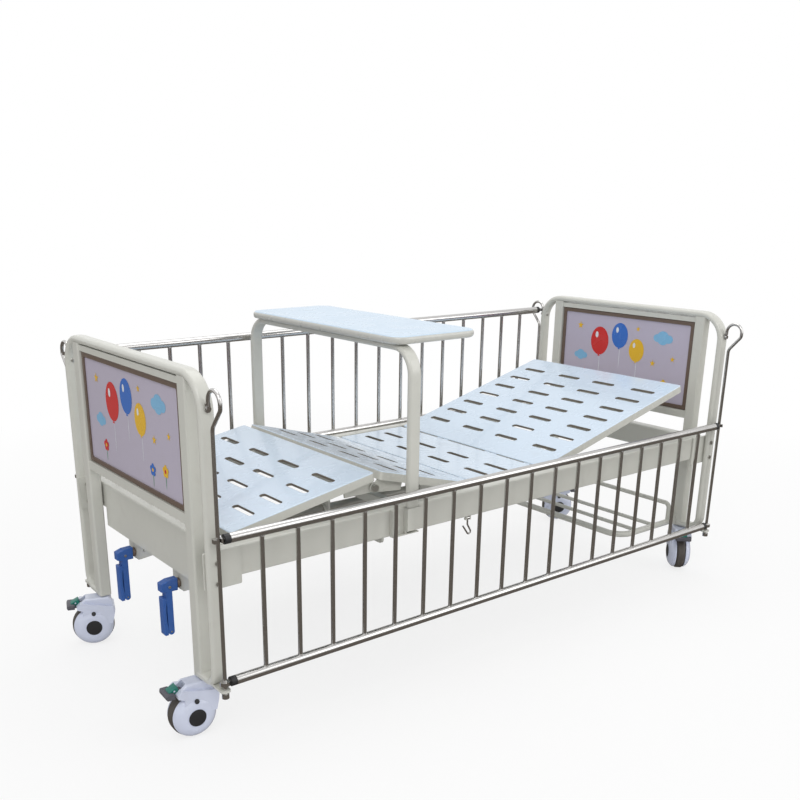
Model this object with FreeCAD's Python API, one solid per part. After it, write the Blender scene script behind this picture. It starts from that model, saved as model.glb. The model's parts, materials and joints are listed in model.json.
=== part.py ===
import FreeCAD, Part
import math
import os
os.makedirs("parts", exist_ok=True)

V = FreeCAD.Vector
X_AXIS = V(1, 0, 0)
Y_AXIS = V(0, 1, 0)
Z_AXIS = V(0, 0, 1)
ORIGIN = V(0, 0, 0)

# Millimetres. +X is the head end, -Y the near side, +Z up; the origin is on the floor, mid cot.

# --- gaps between pieces -----------------------------------------------------
RUN = 0.05          # radial play of a pin or shaft in its bore
CLEAR = 0.5         # air between pieces that pass each other
SEAT = 0.3          # air between pieces that only rest near each other

# --- overall sizes -----------------------------------------------------------
BOARD_X = 1000      # mid plane of each end board
DECK_HALF = 350     # half width of the mattress deck
DECK_TOP = 516      # height of the flat deck surface
LOOP_TOP = 937      # centre of the end boards' top run
LEG_BOTTOM = 157    # lower end of the legs, where the caster stems go in

# --- side and end beams ------------------------------------------------------
BEAM_WALL = 2.0
PLATE = 6           # end plates and brackets
SIDE_IN = DECK_HALF + 16
SIDE_OUT = SIDE_IN + 30
SIDE_Z1 = DECK_TOP - 1
SIDE_Z0 = SIDE_Z1 - 80
LEG_D = 36          # leg depth along the cot
END_OUT = BOARD_X - LEG_D / 2.0 - 4
END_IN = END_OUT - 40
END_Z0 = SIDE_Z0 + 2
APRON_T = 4
APRON_Z0 = END_Z0 - 54   # lower edge of the plate across the foot end
APRON_HALF = SIDE_IN - 66
BOLT_R = 4
BOLT_X = BOARD_X - 6
BOLT_Z = (SIDE_Z1 - 23, SIDE_Z0 + 4)

# --- end boards --------------------------------------------------------------
LOOP_W = 40         # flat-oval outer tube, size along the cot
LOOP_T = 20         # flat-oval outer tube, size in the board's plane
LOOP_Y = SIDE_OUT + PLATE + LOOP_T / 2.0
LOOP_FOOT = LEG_BOTTOM + 8   # centre of the short runs that enter the legs
LOOP_TOP_BEND = 85
LOOP_FOOT_BEND = 40
LOOP_WALL = 2.0
LEG_W = 40          # leg width across the cot
LEG_Y = LOOP_Y - 85
LEG_WALL = 2.0
STEM_R = 10
STEM_L = 58         # stem length inside the leg
PANEL_Z0 = LOOP_TOP - 348
PANEL_Z1 = LOOP_TOP - 30
PANEL_EDGE = LEG_Y - LEG_W / 2.0 - 2
PANEL_T = 12
TRIM_W = 15
TRIM_T = 20
GROOVE = 6          # how far the panel reaches into its trim
BAND_D = 28         # depth of the bars above and below the panel
BAND_TOP = 17
BAND_LOW = 27

# --- mattress deck -----------------------------------------------------------
SHEET = 2.0
LIP = 25            # depth of the folded edges
SLOT_L = 100
SLOT_W = 20
SLOT_Y = [DECK_HALF * k for k in (-0.737, -0.234, 0.234, 0.737)]
HINGE_Z = DECK_TOP - 5
HINGE_GAP = 5       # deck edge to hinge axis
PIN_R = 2.5
EYE_R = 4.5
EYE_W = 24
BACK_X = 195
THIGH_X = -90
BACK_END = END_IN - 28
THIGH_LEN = 364
KNEE_GAP = 2        # deck edge to the line through the knee pin
KNEE_DROP = 50      # knee pin below the deck surface
KNEE_R = 7.0
BACK_REST = 15
THIGH_REST = 15
CALF_RATIO = 2.0 / 3.0   # calf slope over thigh slope
THIGH_MAX = 30

# --- crank drives ------------------------------------------------------------
CRANK_Y = 143
LEVER_R = 99
DRIVE_Z = HINGE_Z - LEVER_R   # height of the pin that works in each lever's slot
SHAFT_Z = DRIVE_Z - 68
BACK_SWING = 35     # the lever hangs straight down at this section angle
KNEE_SWING = 15
DRIVE_PIN_R = 7
LEVER_SLOT = 24
LEVER_W = 34
LEVER_T = 5
LEVER_Y = 10        # inner face of each lever plate from the drive's mid plane
TUBE_R = 17
TUBE_BORE = 12
SCREW_R = 10
SHAFT_R = 8

# --- rails -------------------------------------------------------------------
ROD_Y = LOOP_Y + 30
ROD_R = 5
ROD_FOOT = LEG_BOTTOM - 12
KINK_Z = LOOP_TOP - 112
KINK_TOP = LOOP_TOP - 64
ROD_OUT = ROD_Y + 42
ROD_IN = ROD_Y - 14.7
ARCH_Z = LOOP_TOP - 52
ROD_BOLT_Z = LOOP_TOP - 70
ROD_BOLT_R = 3
PAD_Z = LOOP_TOP - 60
RAIL_R = 12.5
RAIL_WALL = 1.5
RAIL_H = 374
RAIL_LOW = LEG_BOTTOM + 26
RAIL_TRAVEL = 325
RAIL_END = BOARD_X - 30     # where the rail tube stops and its plug starts
BAR_R = 6
BAR_WALL = 1.0
BAR_N = 18
BAR_PITCH = (RAIL_END - 88.5) * 2 / (BAR_N - 1)
STUB_R = 5.5        # core that carries the plug and the eye
RING_R = 13
RING_H = 10

# --- storage rack ------------------------------------------------------------
RACK_Z = LEG_BOTTOM + 8
RACK_Y = LEG_Y - 27
RACK_X0 = BOARD_X - 312
RACK_R = 11
RACK_BEND = 60
RACK_BARS = (RACK_X0 + 102, RACK_X0 + 202)
RACK_BAR_R = 7
RACK_RAISE = RACK_Z + 72
RACK_HOOP_R = 8

# --- over-bed table ----------------------------------------------------------
TABLE_X0 = -423
TABLE_X1 = -124
TABLE_HALF = LOOP_Y - 32
TABLE_Z1 = LOOP_TOP + 37
TABLE_T = 22
TABLE_CORNER = 45
TABLE_LEG_X = -382
TABLE_LEG_Y = SIDE_OUT + 10
TABLE_LEG_BOTTOM = SIDE_Z0 + 22
TABLE_TUBE_W = 40
TABLE_TUBE_T = 18
TABLE_BEND = 70

# --- casters -----------------------------------------------------------------
WHEEL_R = 62.5
TRAIL = 38
TYRE_W = 30
CORE_R = 47
AXLE_PIN_R = 6
SHELL_GAP = 1.5
SHELL_R = 59        # rim of the domed side covers
SHELL_RIM = 20      # half width of the shell at that rim
SHELL_CROWN = 38    # half width at the hub
CAP_R = 24
HOOD_HALF = 33
CASTER_TOP = LEG_BOTTOM - 4
CASTERS = {
    "foot_near": (-BOARD_X, -LEG_Y, 176.0),
    "foot_far": (-BOARD_X, LEG_Y, 161.0),
    "head_near": (BOARD_X, -LEG_Y, 226.6),
    "head_far": (BOARD_X, LEG_Y, -32.0),
}


def save(shape, name):
    shape.exportStep(os.path.join("parts", name + ".step"))
    print(name, len(shape.Solids), round(shape.Volume / 1000.0, 1))


def box(x0, x1, y0, y1, z0, z1):
    return Part.makeBox(x1 - x0, y1 - y0, z1 - z0, V(x0, y0, z0))


def cylinder(start, end, radius):
    start = V(*start)
    span = V(*end) - start
    return Part.makeCylinder(radius, span.Length, start, span)


def fuse(shapes):
    first = shapes[0]
    if len(shapes) == 1:
        return first
    return first.multiFuse(shapes[1:]).removeSplitter()


def mirror_y(shape):
    return shape.mirror(ORIGIN, Y_AXIS)


def mirror_x(shape):
    return shape.mirror(ORIGIN, X_AXIS)


def prism(points, plane, low, high):
    """A flat outline in the XZ, YZ or XY plane, pushed along the third axis."""
    place = {
        "xz": lambda a, b: V(a, low, b),
        "yz": lambda a, b: V(low, a, b),
        "xy": lambda a, b: V(a, b, low),
    }[plane]
    push = {"xz": V(0, high - low, 0), "yz": V(high - low, 0, 0), "xy": V(0, 0, high - low)}[plane]
    loop = [place(a, b) for a, b in points]
    loop.append(loop[0])
    return Part.Face(Part.makePolygon(loop)).extrude(push)


def bent_wire(points, bends):
    """Straight runs through the points, joined by arcs of the given radii."""
    points = [V(*p) for p in points]
    edges = []
    start = points[0]
    for i, radius in enumerate(bends):
        corner = points[i + 1]
        back = (points[i] - corner).normalize()
        ahead = (points[i + 2] - corner).normalize()
        half = back.getAngle(ahead) / 2.0
        reach = radius / math.tan(half)
        first = corner + back * reach
        last = corner + ahead * reach
        middle_way = (back + ahead).normalize()
        middle = corner + middle_way * (radius / math.sin(half) - radius)
        if (first - start).Length > 1e-6:
            edges.append(Part.LineSegment(start, first).toShape())
        edges.append(Part.Arc(first, middle, last).toShape())
        start = last
    edges.append(Part.LineSegment(start, points[-1]).toShape())
    return Part.Wire(edges)


def round_sweep(wire, radius):
    start = wire.Edges[0].valueAt(wire.Edges[0].FirstParameter)
    way = wire.Edges[0].tangentAt(wire.Edges[0].FirstParameter)
    ring = Part.Wire(Part.makeCircle(radius, start, way))
    return wire.makePipeShell([ring], True, False)


def oval_ring(centre, wide, thin, wide_size, thin_size):
    """A flat-oval outline; wide and thin are its two unit directions."""
    flat = (wide_size - thin_size) / 2.0
    r = thin_size / 2.0
    a = centre + wide * flat + thin * r
    b = centre - wide * flat + thin * r
    c = centre - wide * flat - thin * r
    d = centre + wide * flat - thin * r
    return Part.Wire([
        Part.LineSegment(a, b).toShape(),
        Part.Arc(b, centre - wide * (flat + r), c).toShape(),
        Part.LineSegment(c, d).toShape(),
        Part.Arc(d, centre + wide * (flat + r), a).toShape(),
    ])


def oval_pipe(points, bends, wide, thin, wide_size, thin_size, wall):
    wire = bent_wire(points, bends)
    start = V(*points[0])
    outer = wire.makePipeShell([oval_ring(start, wide, thin, wide_size, thin_size)], True, False)
    inner_ring = oval_ring(start, wide, thin, wide_size - 2 * wall, thin_size - 2 * wall)
    inner = wire.makePipeShell([inner_ring], True, False)
    return outer, inner


def about_y(shape, x, z, degrees):
    """Turn a shape about a line along Y; positive tips +Z towards +X."""
    return shape.rotated(V(x, 0, z), Y_AXIS, degrees)


def fillet_where(shape, radius, keep):
    edges = [e for e in shape.Edges if keep(e)]
    return shape.makeFillet(radius, edges)


def is_along(edge, axis):
    if edge.Curve.TypeId != "Part::GeomLine":
        return False
    way = edge.tangentAt(edge.FirstParameter)
    return abs(abs(way.dot(axis)) - 1.0) < 1e-6


# --- end boards --------------------------------------------------------------
def board_frame(outward):
    """Legs, outer tube, rails, rod feet and caster sockets, for the board at x = 0."""
    loop_points = [
        (0, LEG_Y, LOOP_FOOT), (0, LOOP_Y, LOOP_FOOT), (0, LOOP_Y, LOOP_TOP),
        (0, -LOOP_Y, LOOP_TOP), (0, -LOOP_Y, LOOP_FOOT), (0, -LEG_Y, LOOP_FOOT),
    ]
    bends = (LOOP_FOOT_BEND, LOOP_TOP_BEND, LOOP_TOP_BEND, LOOP_FOOT_BEND)
    outer, inner = oval_pipe(loop_points, bends, X_AXIS, Z_AXIS, LOOP_W, LOOP_T, LOOP_WALL)
    half_w = LEG_W / 2.0
    half_d = LEG_D / 2.0
    leg_top = LOOP_TOP - LOOP_T / 2.0 + LOOP_WALL
    shells = [outer]
    bores = [inner]
    for side in (-1, 1):
        y = side * LEG_Y
        leg = box(-half_d, half_d, y - half_w, y + half_w, LEG_BOTTOM, leg_top)
        leg = fillet_where(leg, 6, lambda e: is_along(e, Z_AXIS))
        shells.append(leg)
        bore = box(-half_d + LEG_WALL, half_d - LEG_WALL, y - half_w + LEG_WALL,
                   y + half_w - LEG_WALL, LEG_BOTTOM + STEM_L + 2, leg_top - LOOP_WALL)
        bores.append(fillet_where(bore, 4, lambda e: is_along(e, Z_AXIS)))
    band_end = LEG_Y - half_w + LEG_WALL   # the bands run through the leg's wall
    bore_end = band_end + 1
    for z0, z1 in ((PANEL_Z1 + SEAT, PANEL_Z1 + BAND_TOP), (PANEL_Z0 - BAND_LOW, PANEL_Z0 - SEAT)):
        half = BAND_D / 2.0
        shells.append(box(-half, half, -band_end, band_end, z0, z1))
        half -= LEG_WALL
        bores.append(box(-half, half, -bore_end, bore_end, z0 + LEG_WALL, z1 - LEG_WALL))
    for side in (-1, 1):
        reach = ROD_Y + 10
        tongue = box(-13, 13, LEG_Y, reach, LEG_BOTTOM + 2, LEG_BOTTOM + 8)
        tongue = fillet_where(tongue, 9, lambda e: is_along(e, Z_AXIS) and e.CenterOfMass.y > reach - 1)
        shells.append(tongue if side > 0 else mirror_y(tongue))
    frame = fuse(shells)
    for bore in bores:
        frame = frame.cut(bore)
    bolt_x = -outward * (BOARD_X - BOLT_X)
    for side in (-1, 1):
        low = LEG_BOTTOM - 5
        frame = frame.cut(cylinder((0, side * LEG_Y, low), (0, side * LEG_Y, LEG_BOTTOM + STEM_L + 3),
                                   STEM_R + RUN))
        frame = frame.cut(cylinder((0, side * ROD_Y, low), (0, side * ROD_Y, LEG_BOTTOM + 9), ROD_R + RUN))
        inner = side * (LOOP_Y - LOOP_T / 2.0 - 2)
        outer = side * (LOOP_Y + LOOP_T / 2.0 + 2)
        for z in BOLT_Z:
            frame = frame.cut(cylinder((bolt_x, inner, z), (bolt_x, outer, z), BOLT_R + RUN))
        frame = frame.cut(cylinder((0, inner, ROD_BOLT_Z), (0, outer, ROD_BOLT_Z), ROD_BOLT_R + RUN))
    return frame


def board_trim():
    outer = box(-TRIM_T / 2.0, TRIM_T / 2.0, -PANEL_EDGE, PANEL_EDGE, PANEL_Z0, PANEL_Z1)
    outer = fillet_where(outer, 4, lambda e: not is_along(e, X_AXIS))
    inner_edge = PANEL_EDGE - TRIM_W
    window = box(-TRIM_T, TRIM_T, -inner_edge, inner_edge, PANEL_Z0 + TRIM_W, PANEL_Z1 - TRIM_W)
    window = fillet_where(window, 6, lambda e: is_along(e, X_AXIS))
    groove = box(-PANEL_T / 2.0 - 0.1, PANEL_T / 2.0 + 0.1, -inner_edge - GROOVE, inner_edge + GROOVE,
                 PANEL_Z0 + TRIM_W - GROOVE, PANEL_Z1 - TRIM_W + GROOVE)
    return outer.cut(window).cut(groove)


def board_panel():
    bite = GROOVE - 0.2
    edge = PANEL_EDGE - TRIM_W + bite
    return box(-PANEL_T / 2.0, PANEL_T / 2.0, -edge, edge, PANEL_Z0 + TRIM_W - bite,
               PANEL_Z1 - TRIM_W + bite)


for end, sign in (("foot", -1), ("head", 1)):
    shift = V(sign * BOARD_X, 0, 0)
    save(board_frame(sign).translated(shift), end + "_board_frame")
    save(board_trim().translated(shift), end + "_board_trim")
    save(board_panel().translated(shift), end + "_board_panel")


# --- beams -------------------------------------------------------------------
def side_beam():
    """Near-side beam and the end plates welded to its outer face; it lies at negative Y."""
    end_x = BOARD_X + 20
    inner_face = LOOP_Y - LOOP_T / 2.0
    beam = box(-END_OUT, END_OUT, -SIDE_OUT, -SIDE_IN, SIDE_Z0, SIDE_Z1)
    beam = fillet_where(beam, 5, lambda e: is_along(e, X_AXIS))
    hollow = box(-END_OUT - 1, END_OUT + 1, -SIDE_OUT + BEAM_WALL, -SIDE_IN - BEAM_WALL,
                 SIDE_Z0 + BEAM_WALL, SIDE_Z1 - BEAM_WALL)
    parts = [beam.cut(hollow)]
    for sign in (-1, 1):
        x0, x1 = sorted((sign * (END_OUT - 60), sign * end_x))
        plate = box(x0, x1, -inner_face, -SIDE_OUT, SIDE_Z0 - 18, SIDE_Z1)
        plate = fillet_where(plate, 4, lambda e: is_along(e, Y_AXIS))
        for z in BOLT_Z:
            x = sign * BOLT_X
            plate = plate.cut(cylinder((x, -inner_face - 1, z), (x, -SIDE_OUT + 1, z), BOLT_R + RUN))
        parts.append(plate)
    return parts


HOOK_X = -150
HOOK_Y = -SIDE_OUT + 11
HOOK_Z = SIDE_Z0 - 8
WIRE_R = 2.5


def hook_staple():
    """Pin between two tabs under the near beam that the drain hook swings on."""
    staple = cylinder((HOOK_X - 9, HOOK_Y, HOOK_Z), (HOOK_X + 9, HOOK_Y, HOOK_Z), WIRE_R)
    for sign in (-1, 1):
        x0, x1 = sorted((HOOK_X + sign * 5.5, HOOK_X + sign * 9))
        staple = staple.fuse(box(x0, x1, HOOK_Y - 5, HOOK_Y + 5, HOOK_Z - 5, SIDE_Z0))
    return staple


beam, *plates = side_beam()
save(Part.makeCompound([beam.fuse(hook_staple())] + plates), "side_beam_near")
save(Part.makeCompound([mirror_y(piece) for piece in [beam] + plates]), "side_beam_far")


def end_beam():
    """Head-side cross beam between the two side beams."""
    reach = SIDE_IN
    beam = box(END_IN, END_OUT, -reach, reach, END_Z0, SIDE_Z1)
    beam = fillet_where(beam, 5, lambda e: is_along(e, Y_AXIS))
    hollow = box(END_IN + BEAM_WALL, END_OUT - BEAM_WALL, -reach, reach,
                 END_Z0 + BEAM_WALL, SIDE_Z1 - BEAM_WALL)
    return beam.cut(hollow)


HANGER_X0 = -END_OUT + 13
HANGER_X1 = HANGER_X0 + 8
HANGER_TOP = END_Z0 + BEAM_WALL
HANGER_REACH = 120  # how far the bearing plate runs towards the near side


def crank_hanger(y):
    """Bearing plate of one crank, welded under the foot beam."""
    outline = [(y + 36, HANGER_TOP), (y + 36, SHAFT_Z - 7), (y + 18, SHAFT_Z - 19), (y - 24, SHAFT_Z - 19),
               (y - HANGER_REACH, APRON_Z0 - 14), (y - HANGER_REACH, HANGER_TOP)]
    plate = prism(outline, "yz", HANGER_X0, HANGER_X1)
    boss = cylinder((HANGER_X0, y, SHAFT_Z), (HANGER_X1 + 5, y, SHAFT_Z), 20)
    shapes = [plate, boss]
    for edge in (y + 28, y - HANGER_REACH + 2):
        shapes.append(box(HANGER_X1, -END_IN - 2, edge, edge + PLATE, APRON_Z0 - 8, HANGER_TOP))
    return shapes


foot_beam = [mirror_x(end_beam()),
             box(-END_OUT, -END_OUT + APRON_T, -APRON_HALF, APRON_HALF, APRON_Z0, END_Z0 + 8)]
for y in (-CRANK_Y, CRANK_Y):
    foot_beam += crank_hanger(y)
foot_beam = fuse(foot_beam)
for y in (-CRANK_Y, CRANK_Y):
    bore = cylinder((HANGER_X0 - 1, y, SHAFT_Z), (HANGER_X1 + 6, y, SHAFT_Z), SHAFT_R + RUN)
    foot_beam = foot_beam.cut(bore)
    hole_y, hole_z = y - 66, SHAFT_Z + 24
    foot_beam = foot_beam.cut(cylinder((HANGER_X0 - 1, hole_y, hole_z), (HANGER_X1 + 1, hole_y, hole_z), 6))
save(foot_beam, "foot_end_beam")
save(end_beam(), "head_end_beam")

# --- supports under the deck -------------------------------------------------
CROSS_Z1 = DECK_TOP - LIP
CROSS = 30
SEAT_BARS = (-30, 85)
GUIDE_BAR_X = -300
GUIDE_Z1 = DECK_TOP - 49


def hollow_bar(x, z1, half):
    bar = box(x - CROSS / 2.0, x + CROSS / 2.0, -half, half, z1 - CROSS, z1)
    bar = fillet_where(bar, 3, lambda e: is_along(e, Y_AXIS))
    return bar.cut(box(x - CROSS / 2.0 + 2, x + CROSS / 2.0 - 2, -half, half, z1 - CROSS + 2, z1 - 2))


def bush_plate(x, y, z1):
    """Plate under a cross tube that guides a push tube."""
    plate = box(x - 4, x + 4, y - 30, y + 30, SHAFT_Z - 28, z1)
    plate = fillet_where(plate, 12, lambda e: is_along(e, X_AXIS) and e.CenterOfMass.z < SHAFT_Z)
    bush = cylinder((x - 10, y, SHAFT_Z), (x + 10, y, SHAFT_Z), TUBE_R + 5)
    return plate, bush


supports = [hollow_bar(x, CROSS_Z1, SIDE_IN) for x in SEAT_BARS]
supports.append(hollow_bar(GUIDE_BAR_X, GUIDE_Z1, SIDE_IN))
bush_places = [(SEAT_BARS[1] - 11, CRANK_Y, CROSS_Z1 - CROSS + 1)]
bush_places += [(GUIDE_BAR_X, y, GUIDE_Z1 - CROSS + 1) for y in (-CRANK_Y, CRANK_Y)]
for x, y, z1 in bush_places:
    supports += list(bush_plate(x, y, z1))
supports = fuse(supports)
for x, y, z1 in bush_places:
    supports = supports.cut(cylinder((x - 12, y, SHAFT_Z), (x + 12, y, SHAFT_Z), TUBE_R + RUN))
save(supports, "cross_tubes")


# --- deck pans, drawn flat ---------------------------------------------------
def slot_cut(x, y):
    half = SLOT_L / 2.0 - SLOT_W / 2.0
    low, high = DECK_TOP - SHEET - 1, DECK_TOP + 1
    bar = box(x - SLOT_W / 2.0, x + SLOT_W / 2.0, y - half, y + half, low, high)
    for end in (-half, half):
        bar = bar.fuse(cylinder((x, y + end, low), (x, y + end, high), SLOT_W / 2.0))
    return bar


def pan(x0, x1, slot_rows, bars):
    """Pressed sheet with folded edges, slots and welded stiffening bars."""
    body = box(x0, x1, -DECK_HALF, DECK_HALF, DECK_TOP - LIP, DECK_TOP)
    body = fillet_where(body, 8, lambda e: is_along(e, Z_AXIS))
    body = fillet_where(body, 3, lambda e: e.BoundBox.ZMin > DECK_TOP - 1e-3)
    hollow = box(x0 + SHEET, x1 - SHEET, -DECK_HALF + SHEET, DECK_HALF - SHEET,
                 DECK_TOP - LIP - 1, DECK_TOP - SHEET)
    body = body.cut(fillet_where(hollow, 6, lambda e: is_along(e, Z_AXIS)))
    cuts = [slot_cut(x, y) for x in slot_rows for y in SLOT_Y]
    body = body.cut(cuts[0].multiFuse(cuts[1:]))
    stiff = []
    for x in bars:
        bar = box(x - 12, x + 12, -DECK_HALF + SHEET, DECK_HALF - SHEET, DECK_TOP - LIP, DECK_TOP - SHEET)
        stiff.append(bar.cut(box(x - 10.5, x + 10.5, -DECK_HALF + SHEET, DECK_HALF - SHEET,
                                 DECK_TOP - LIP + 1.5, DECK_TOP - SHEET)))
    return fuse([body] + stiff) if stiff else body


def knuckles(x, z, places, edge_x):
    """Hinge eyes on the line x, z, with webs that reach the pan's edge."""
    x0, x1 = sorted((x, edge_x))
    eyes = []
    for y in places:
        y0, y1 = y - EYE_W / 2.0, y + EYE_W / 2.0
        eye = cylinder((x, y0, z), (x, y1, z), EYE_R).fuse(box(x0, x1, y0, y1, z - EYE_R, z))
        eyes.append(eye.cut(cylinder((x, y0 - 1, z), (x, y1 + 1, z), PIN_R + RUN)))
    return fuse(eyes)


FIXED_EYES = (-DECK_HALF + 35, -DECK_HALF * 0.3, DECK_HALF * 0.3, DECK_HALF - 35)
MOVING_EYES = [y + (30 if y < -DECK_HALF / 2 or 0 < y < DECK_HALF / 2 else -30) for y in FIXED_EYES]
SEAT_X0 = THIGH_X + HINGE_GAP
SEAT_X1 = BACK_X - HINGE_GAP

seat = [pan(SEAT_X0, SEAT_X1, (-3, 82), (40, 140))]
for axis_x, edge_x in ((THIGH_X, SEAT_X0), (BACK_X, SEAT_X1)):
    seat.append(knuckles(axis_x, HINGE_Z, FIXED_EYES, edge_x))
save(fuse(seat), "seat_section")
pin_end = DECK_HALF - 6
pins = [cylinder((x, -pin_end, HINGE_Z), (x, pin_end, HINGE_Z), PIN_R) for x in (THIGH_X, BACK_X)]
save(Part.makeCompound(pins), "hinge_pins")

# --- back section ------------------------------------------------------------
BACK_PITCH = (BACK_END - BACK_X - 208) / 6.0
BACK_ROWS = [BACK_X + 112 + BACK_PITCH * i for i in range(7)]
BACK_BARS = [BACK_ROWS[i] + BACK_PITCH / 2.0 for i in (0, 2, 4)] + [BACK_ROWS[6] + 42]
LIFT_BAR = 30
LIFT_NEAR = 30      # near face of the lift bar, from the hinge axis


def lift_arm(axis_x, way, swing, y):
    """Lift bar and slotted lever of a section, drawn flat; way points away from the seat."""
    def at(u, w):
        return (axis_x + way * u, HINGE_Z + w)
    a = math.radians(swing)
    run = (-math.sin(a), -math.cos(a))
    side = (math.cos(a), -math.sin(a))
    slot_0 = LEVER_R - 2
    slot_1 = LEVER_R / math.cos(a) + 2
    tip = slot_1 + LEVER_SLOT / 2.0 + 8
    half = LEVER_W / 2.0
    under = DECK_TOP - SHEET - LIFT_BAR - HINGE_Z
    outline = [
        at(LIFT_NEAR, under), at(LIFT_NEAR + LIFT_BAR, under),
        at(run[0] * tip + side[0] * half, run[1] * tip + side[1] * half),
        at(run[0] * tip - side[0] * half, run[1] * tip - side[1] * half),
        at(run[0] * 70 - side[0] * half, run[1] * 70 - side[1] * half),
    ]
    gap = LEVER_SLOT / 2.0
    ends = [at(run[0] * s, run[1] * s) for s in (slot_0, slot_1)]
    sides = [at(run[0] * s + side[0] * k, run[1] * s + side[1] * k)
             for s, k in ((slot_0, gap), (slot_1, gap), (slot_1, -gap), (slot_0, -gap))]
    x0, x1 = sorted((at(LIFT_NEAR, 0)[0], at(LIFT_NEAR + LIFT_BAR, 0)[0]))
    reach = DECK_HALF - SHEET - CLEAR
    bar = box(x0, x1, -reach, reach, DECK_TOP - SHEET - LIFT_BAR, DECK_TOP - SHEET)
    bar = bar.cut(box(x0 + 2, x1 - 2, -reach, reach, DECK_TOP - SHEET - LIFT_BAR + 2, DECK_TOP - SHEET - 2))
    shapes = [bar]
    for low in (y - LEVER_Y - LEVER_T, y + LEVER_Y):
        plate = prism(outline, "xz", low, low + LEVER_T)
        plate = plate.cut(prism(sides, "xz", low, low + LEVER_T))
        for x, z in ends:
            plate = plate.cut(cylinder((x, low, z), (x, low + LEVER_T, z), gap))
        shapes.append(plate)
    return fuse(shapes)


back = [pan(BACK_X + HINGE_GAP, BACK_END, BACK_ROWS, BACK_BARS)]
back.append(knuckles(BACK_X, HINGE_Z, MOVING_EYES, BACK_X + HINGE_GAP))
save(about_y(fuse(back), BACK_X, HINGE_Z, -BACK_REST), "back_section")
save(about_y(lift_arm(BACK_X, 1, BACK_SWING, CRANK_Y), BACK_X, HINGE_Z, -BACK_REST), "back_lift_arm")

# --- thigh section -----------------------------------------------------------
THIGH_X1 = THIGH_X - HINGE_GAP
THIGH_X0 = THIGH_X1 - THIGH_LEN
KNEE_X = THIGH_X0 - KNEE_GAP
KNEE_Z = DECK_TOP - KNEE_DROP
THIGH_ROWS = (-222, -297, -372)
LUG_T = 5
LUG_EYE = 14


def knee_lug(way, y):
    """Plate under a pan that carries the knee pin; way points from the pin to the pan's middle."""
    low = DECK_TOP - LIP
    outline = [
        (KNEE_X + way * 96, low), (KNEE_X + way * 8, low), (KNEE_X, KNEE_Z + LUG_EYE),
        (KNEE_X, KNEE_Z - LUG_EYE), (KNEE_X + way * 96, KNEE_Z + 2),
    ]
    lug = prism(outline, "xz", y, y + LUG_T)
    lug = lug.fuse(cylinder((KNEE_X, y, KNEE_Z), (KNEE_X, y + LUG_T, KNEE_Z), LUG_EYE))
    return lug.cut(cylinder((KNEE_X, y - 1, KNEE_Z), (KNEE_X, y + LUG_T + 1, KNEE_Z), KNEE_R + RUN))


LUG_OUT = DECK_HALF - 14
LUG_MID = DECK_HALF * 0.3
STEP = LUG_T + CLEAR
THIGH_LUGS = (-LUG_OUT, LUG_OUT - LUG_T, -LUG_MID, LUG_MID - LUG_T)
CALF_LUGS = (-LUG_OUT + STEP, LUG_OUT - LUG_T - STEP, -LUG_MID + STEP, LUG_MID - LUG_T - STEP)
thigh = [pan(THIGH_X0, THIGH_X1, THIGH_ROWS, (-260, -335, -440))]
thigh.append(knuckles(THIGH_X, HINGE_Z, MOVING_EYES, THIGH_X1))
thigh += [knee_lug(1, y) for y in THIGH_LUGS]
save(about_y(fuse(thigh), THIGH_X, HINGE_Z, THIGH_REST), "thigh_section")
save(about_y(lift_arm(THIGH_X, -1, KNEE_SWING, -CRANK_Y), THIGH_X, HINGE_Z, THIGH_REST), "thigh_lift_arm")
knee_half = LUG_OUT + 2
knee_pin = cylinder((KNEE_X, -knee_half, KNEE_Z), (KNEE_X, knee_half, KNEE_Z), KNEE_R)
for side in (-1, 1):
    knee_pin = knee_pin.fuse(cylinder((KNEE_X, side * knee_half, KNEE_Z),
                                      (KNEE_X, side * (DECK_HALF - 5), KNEE_Z), 10))
save(about_y(knee_pin, THIGH_X, HINGE_Z, THIGH_REST), "knee_pin")

# --- calf section ------------------------------------------------------------
CALF_X1 = KNEE_X - KNEE_GAP
CALF_X0 = -END_IN + 20
CALF_PITCH = (CALF_X1 - CALF_X0 - 200) / 3.0
CALF_ROWS = [CALF_X1 - 107 - CALF_PITCH * i for i in range(4)]
AXLE_X = CALF_X0 + 37
AXLE_Z = KNEE_Z - 49
AXLE_R = 6
GUIDE_Y = DECK_HALF - 50
GUIDE_T = 5
GUIDE_EDGE = 24     # plate beyond the slot's upper end
GUIDE_RIM = 15      # plate above it


def turned(x, z, pivot_x, pivot_z, degrees):
    """A point in the XZ plane turned as about_y turns a shape."""
    a = math.radians(degrees)
    dx, dz = x - pivot_x, z - pivot_z
    return (pivot_x + dx * math.cos(a) + dz * math.sin(a), pivot_z - dx * math.sin(a) + dz * math.cos(a))


def knee_at(thigh_angle):
    return turned(KNEE_X, KNEE_Z, THIGH_X, HINGE_Z, thigh_angle)


def place_calf(shape, thigh_angle):
    x, z = knee_at(thigh_angle)
    shape = about_y(shape, KNEE_X, KNEE_Z, -CALF_RATIO * thigh_angle)
    return shape.translated(V(x - KNEE_X, 0, z - KNEE_Z))


def axle_at(thigh_angle):
    x, z = turned(AXLE_X, AXLE_Z, KNEE_X, KNEE_Z, -CALF_RATIO * thigh_angle)
    knee_x, knee_z = knee_at(thigh_angle)
    return (x + knee_x - KNEE_X, z + knee_z - KNEE_Z)


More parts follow.
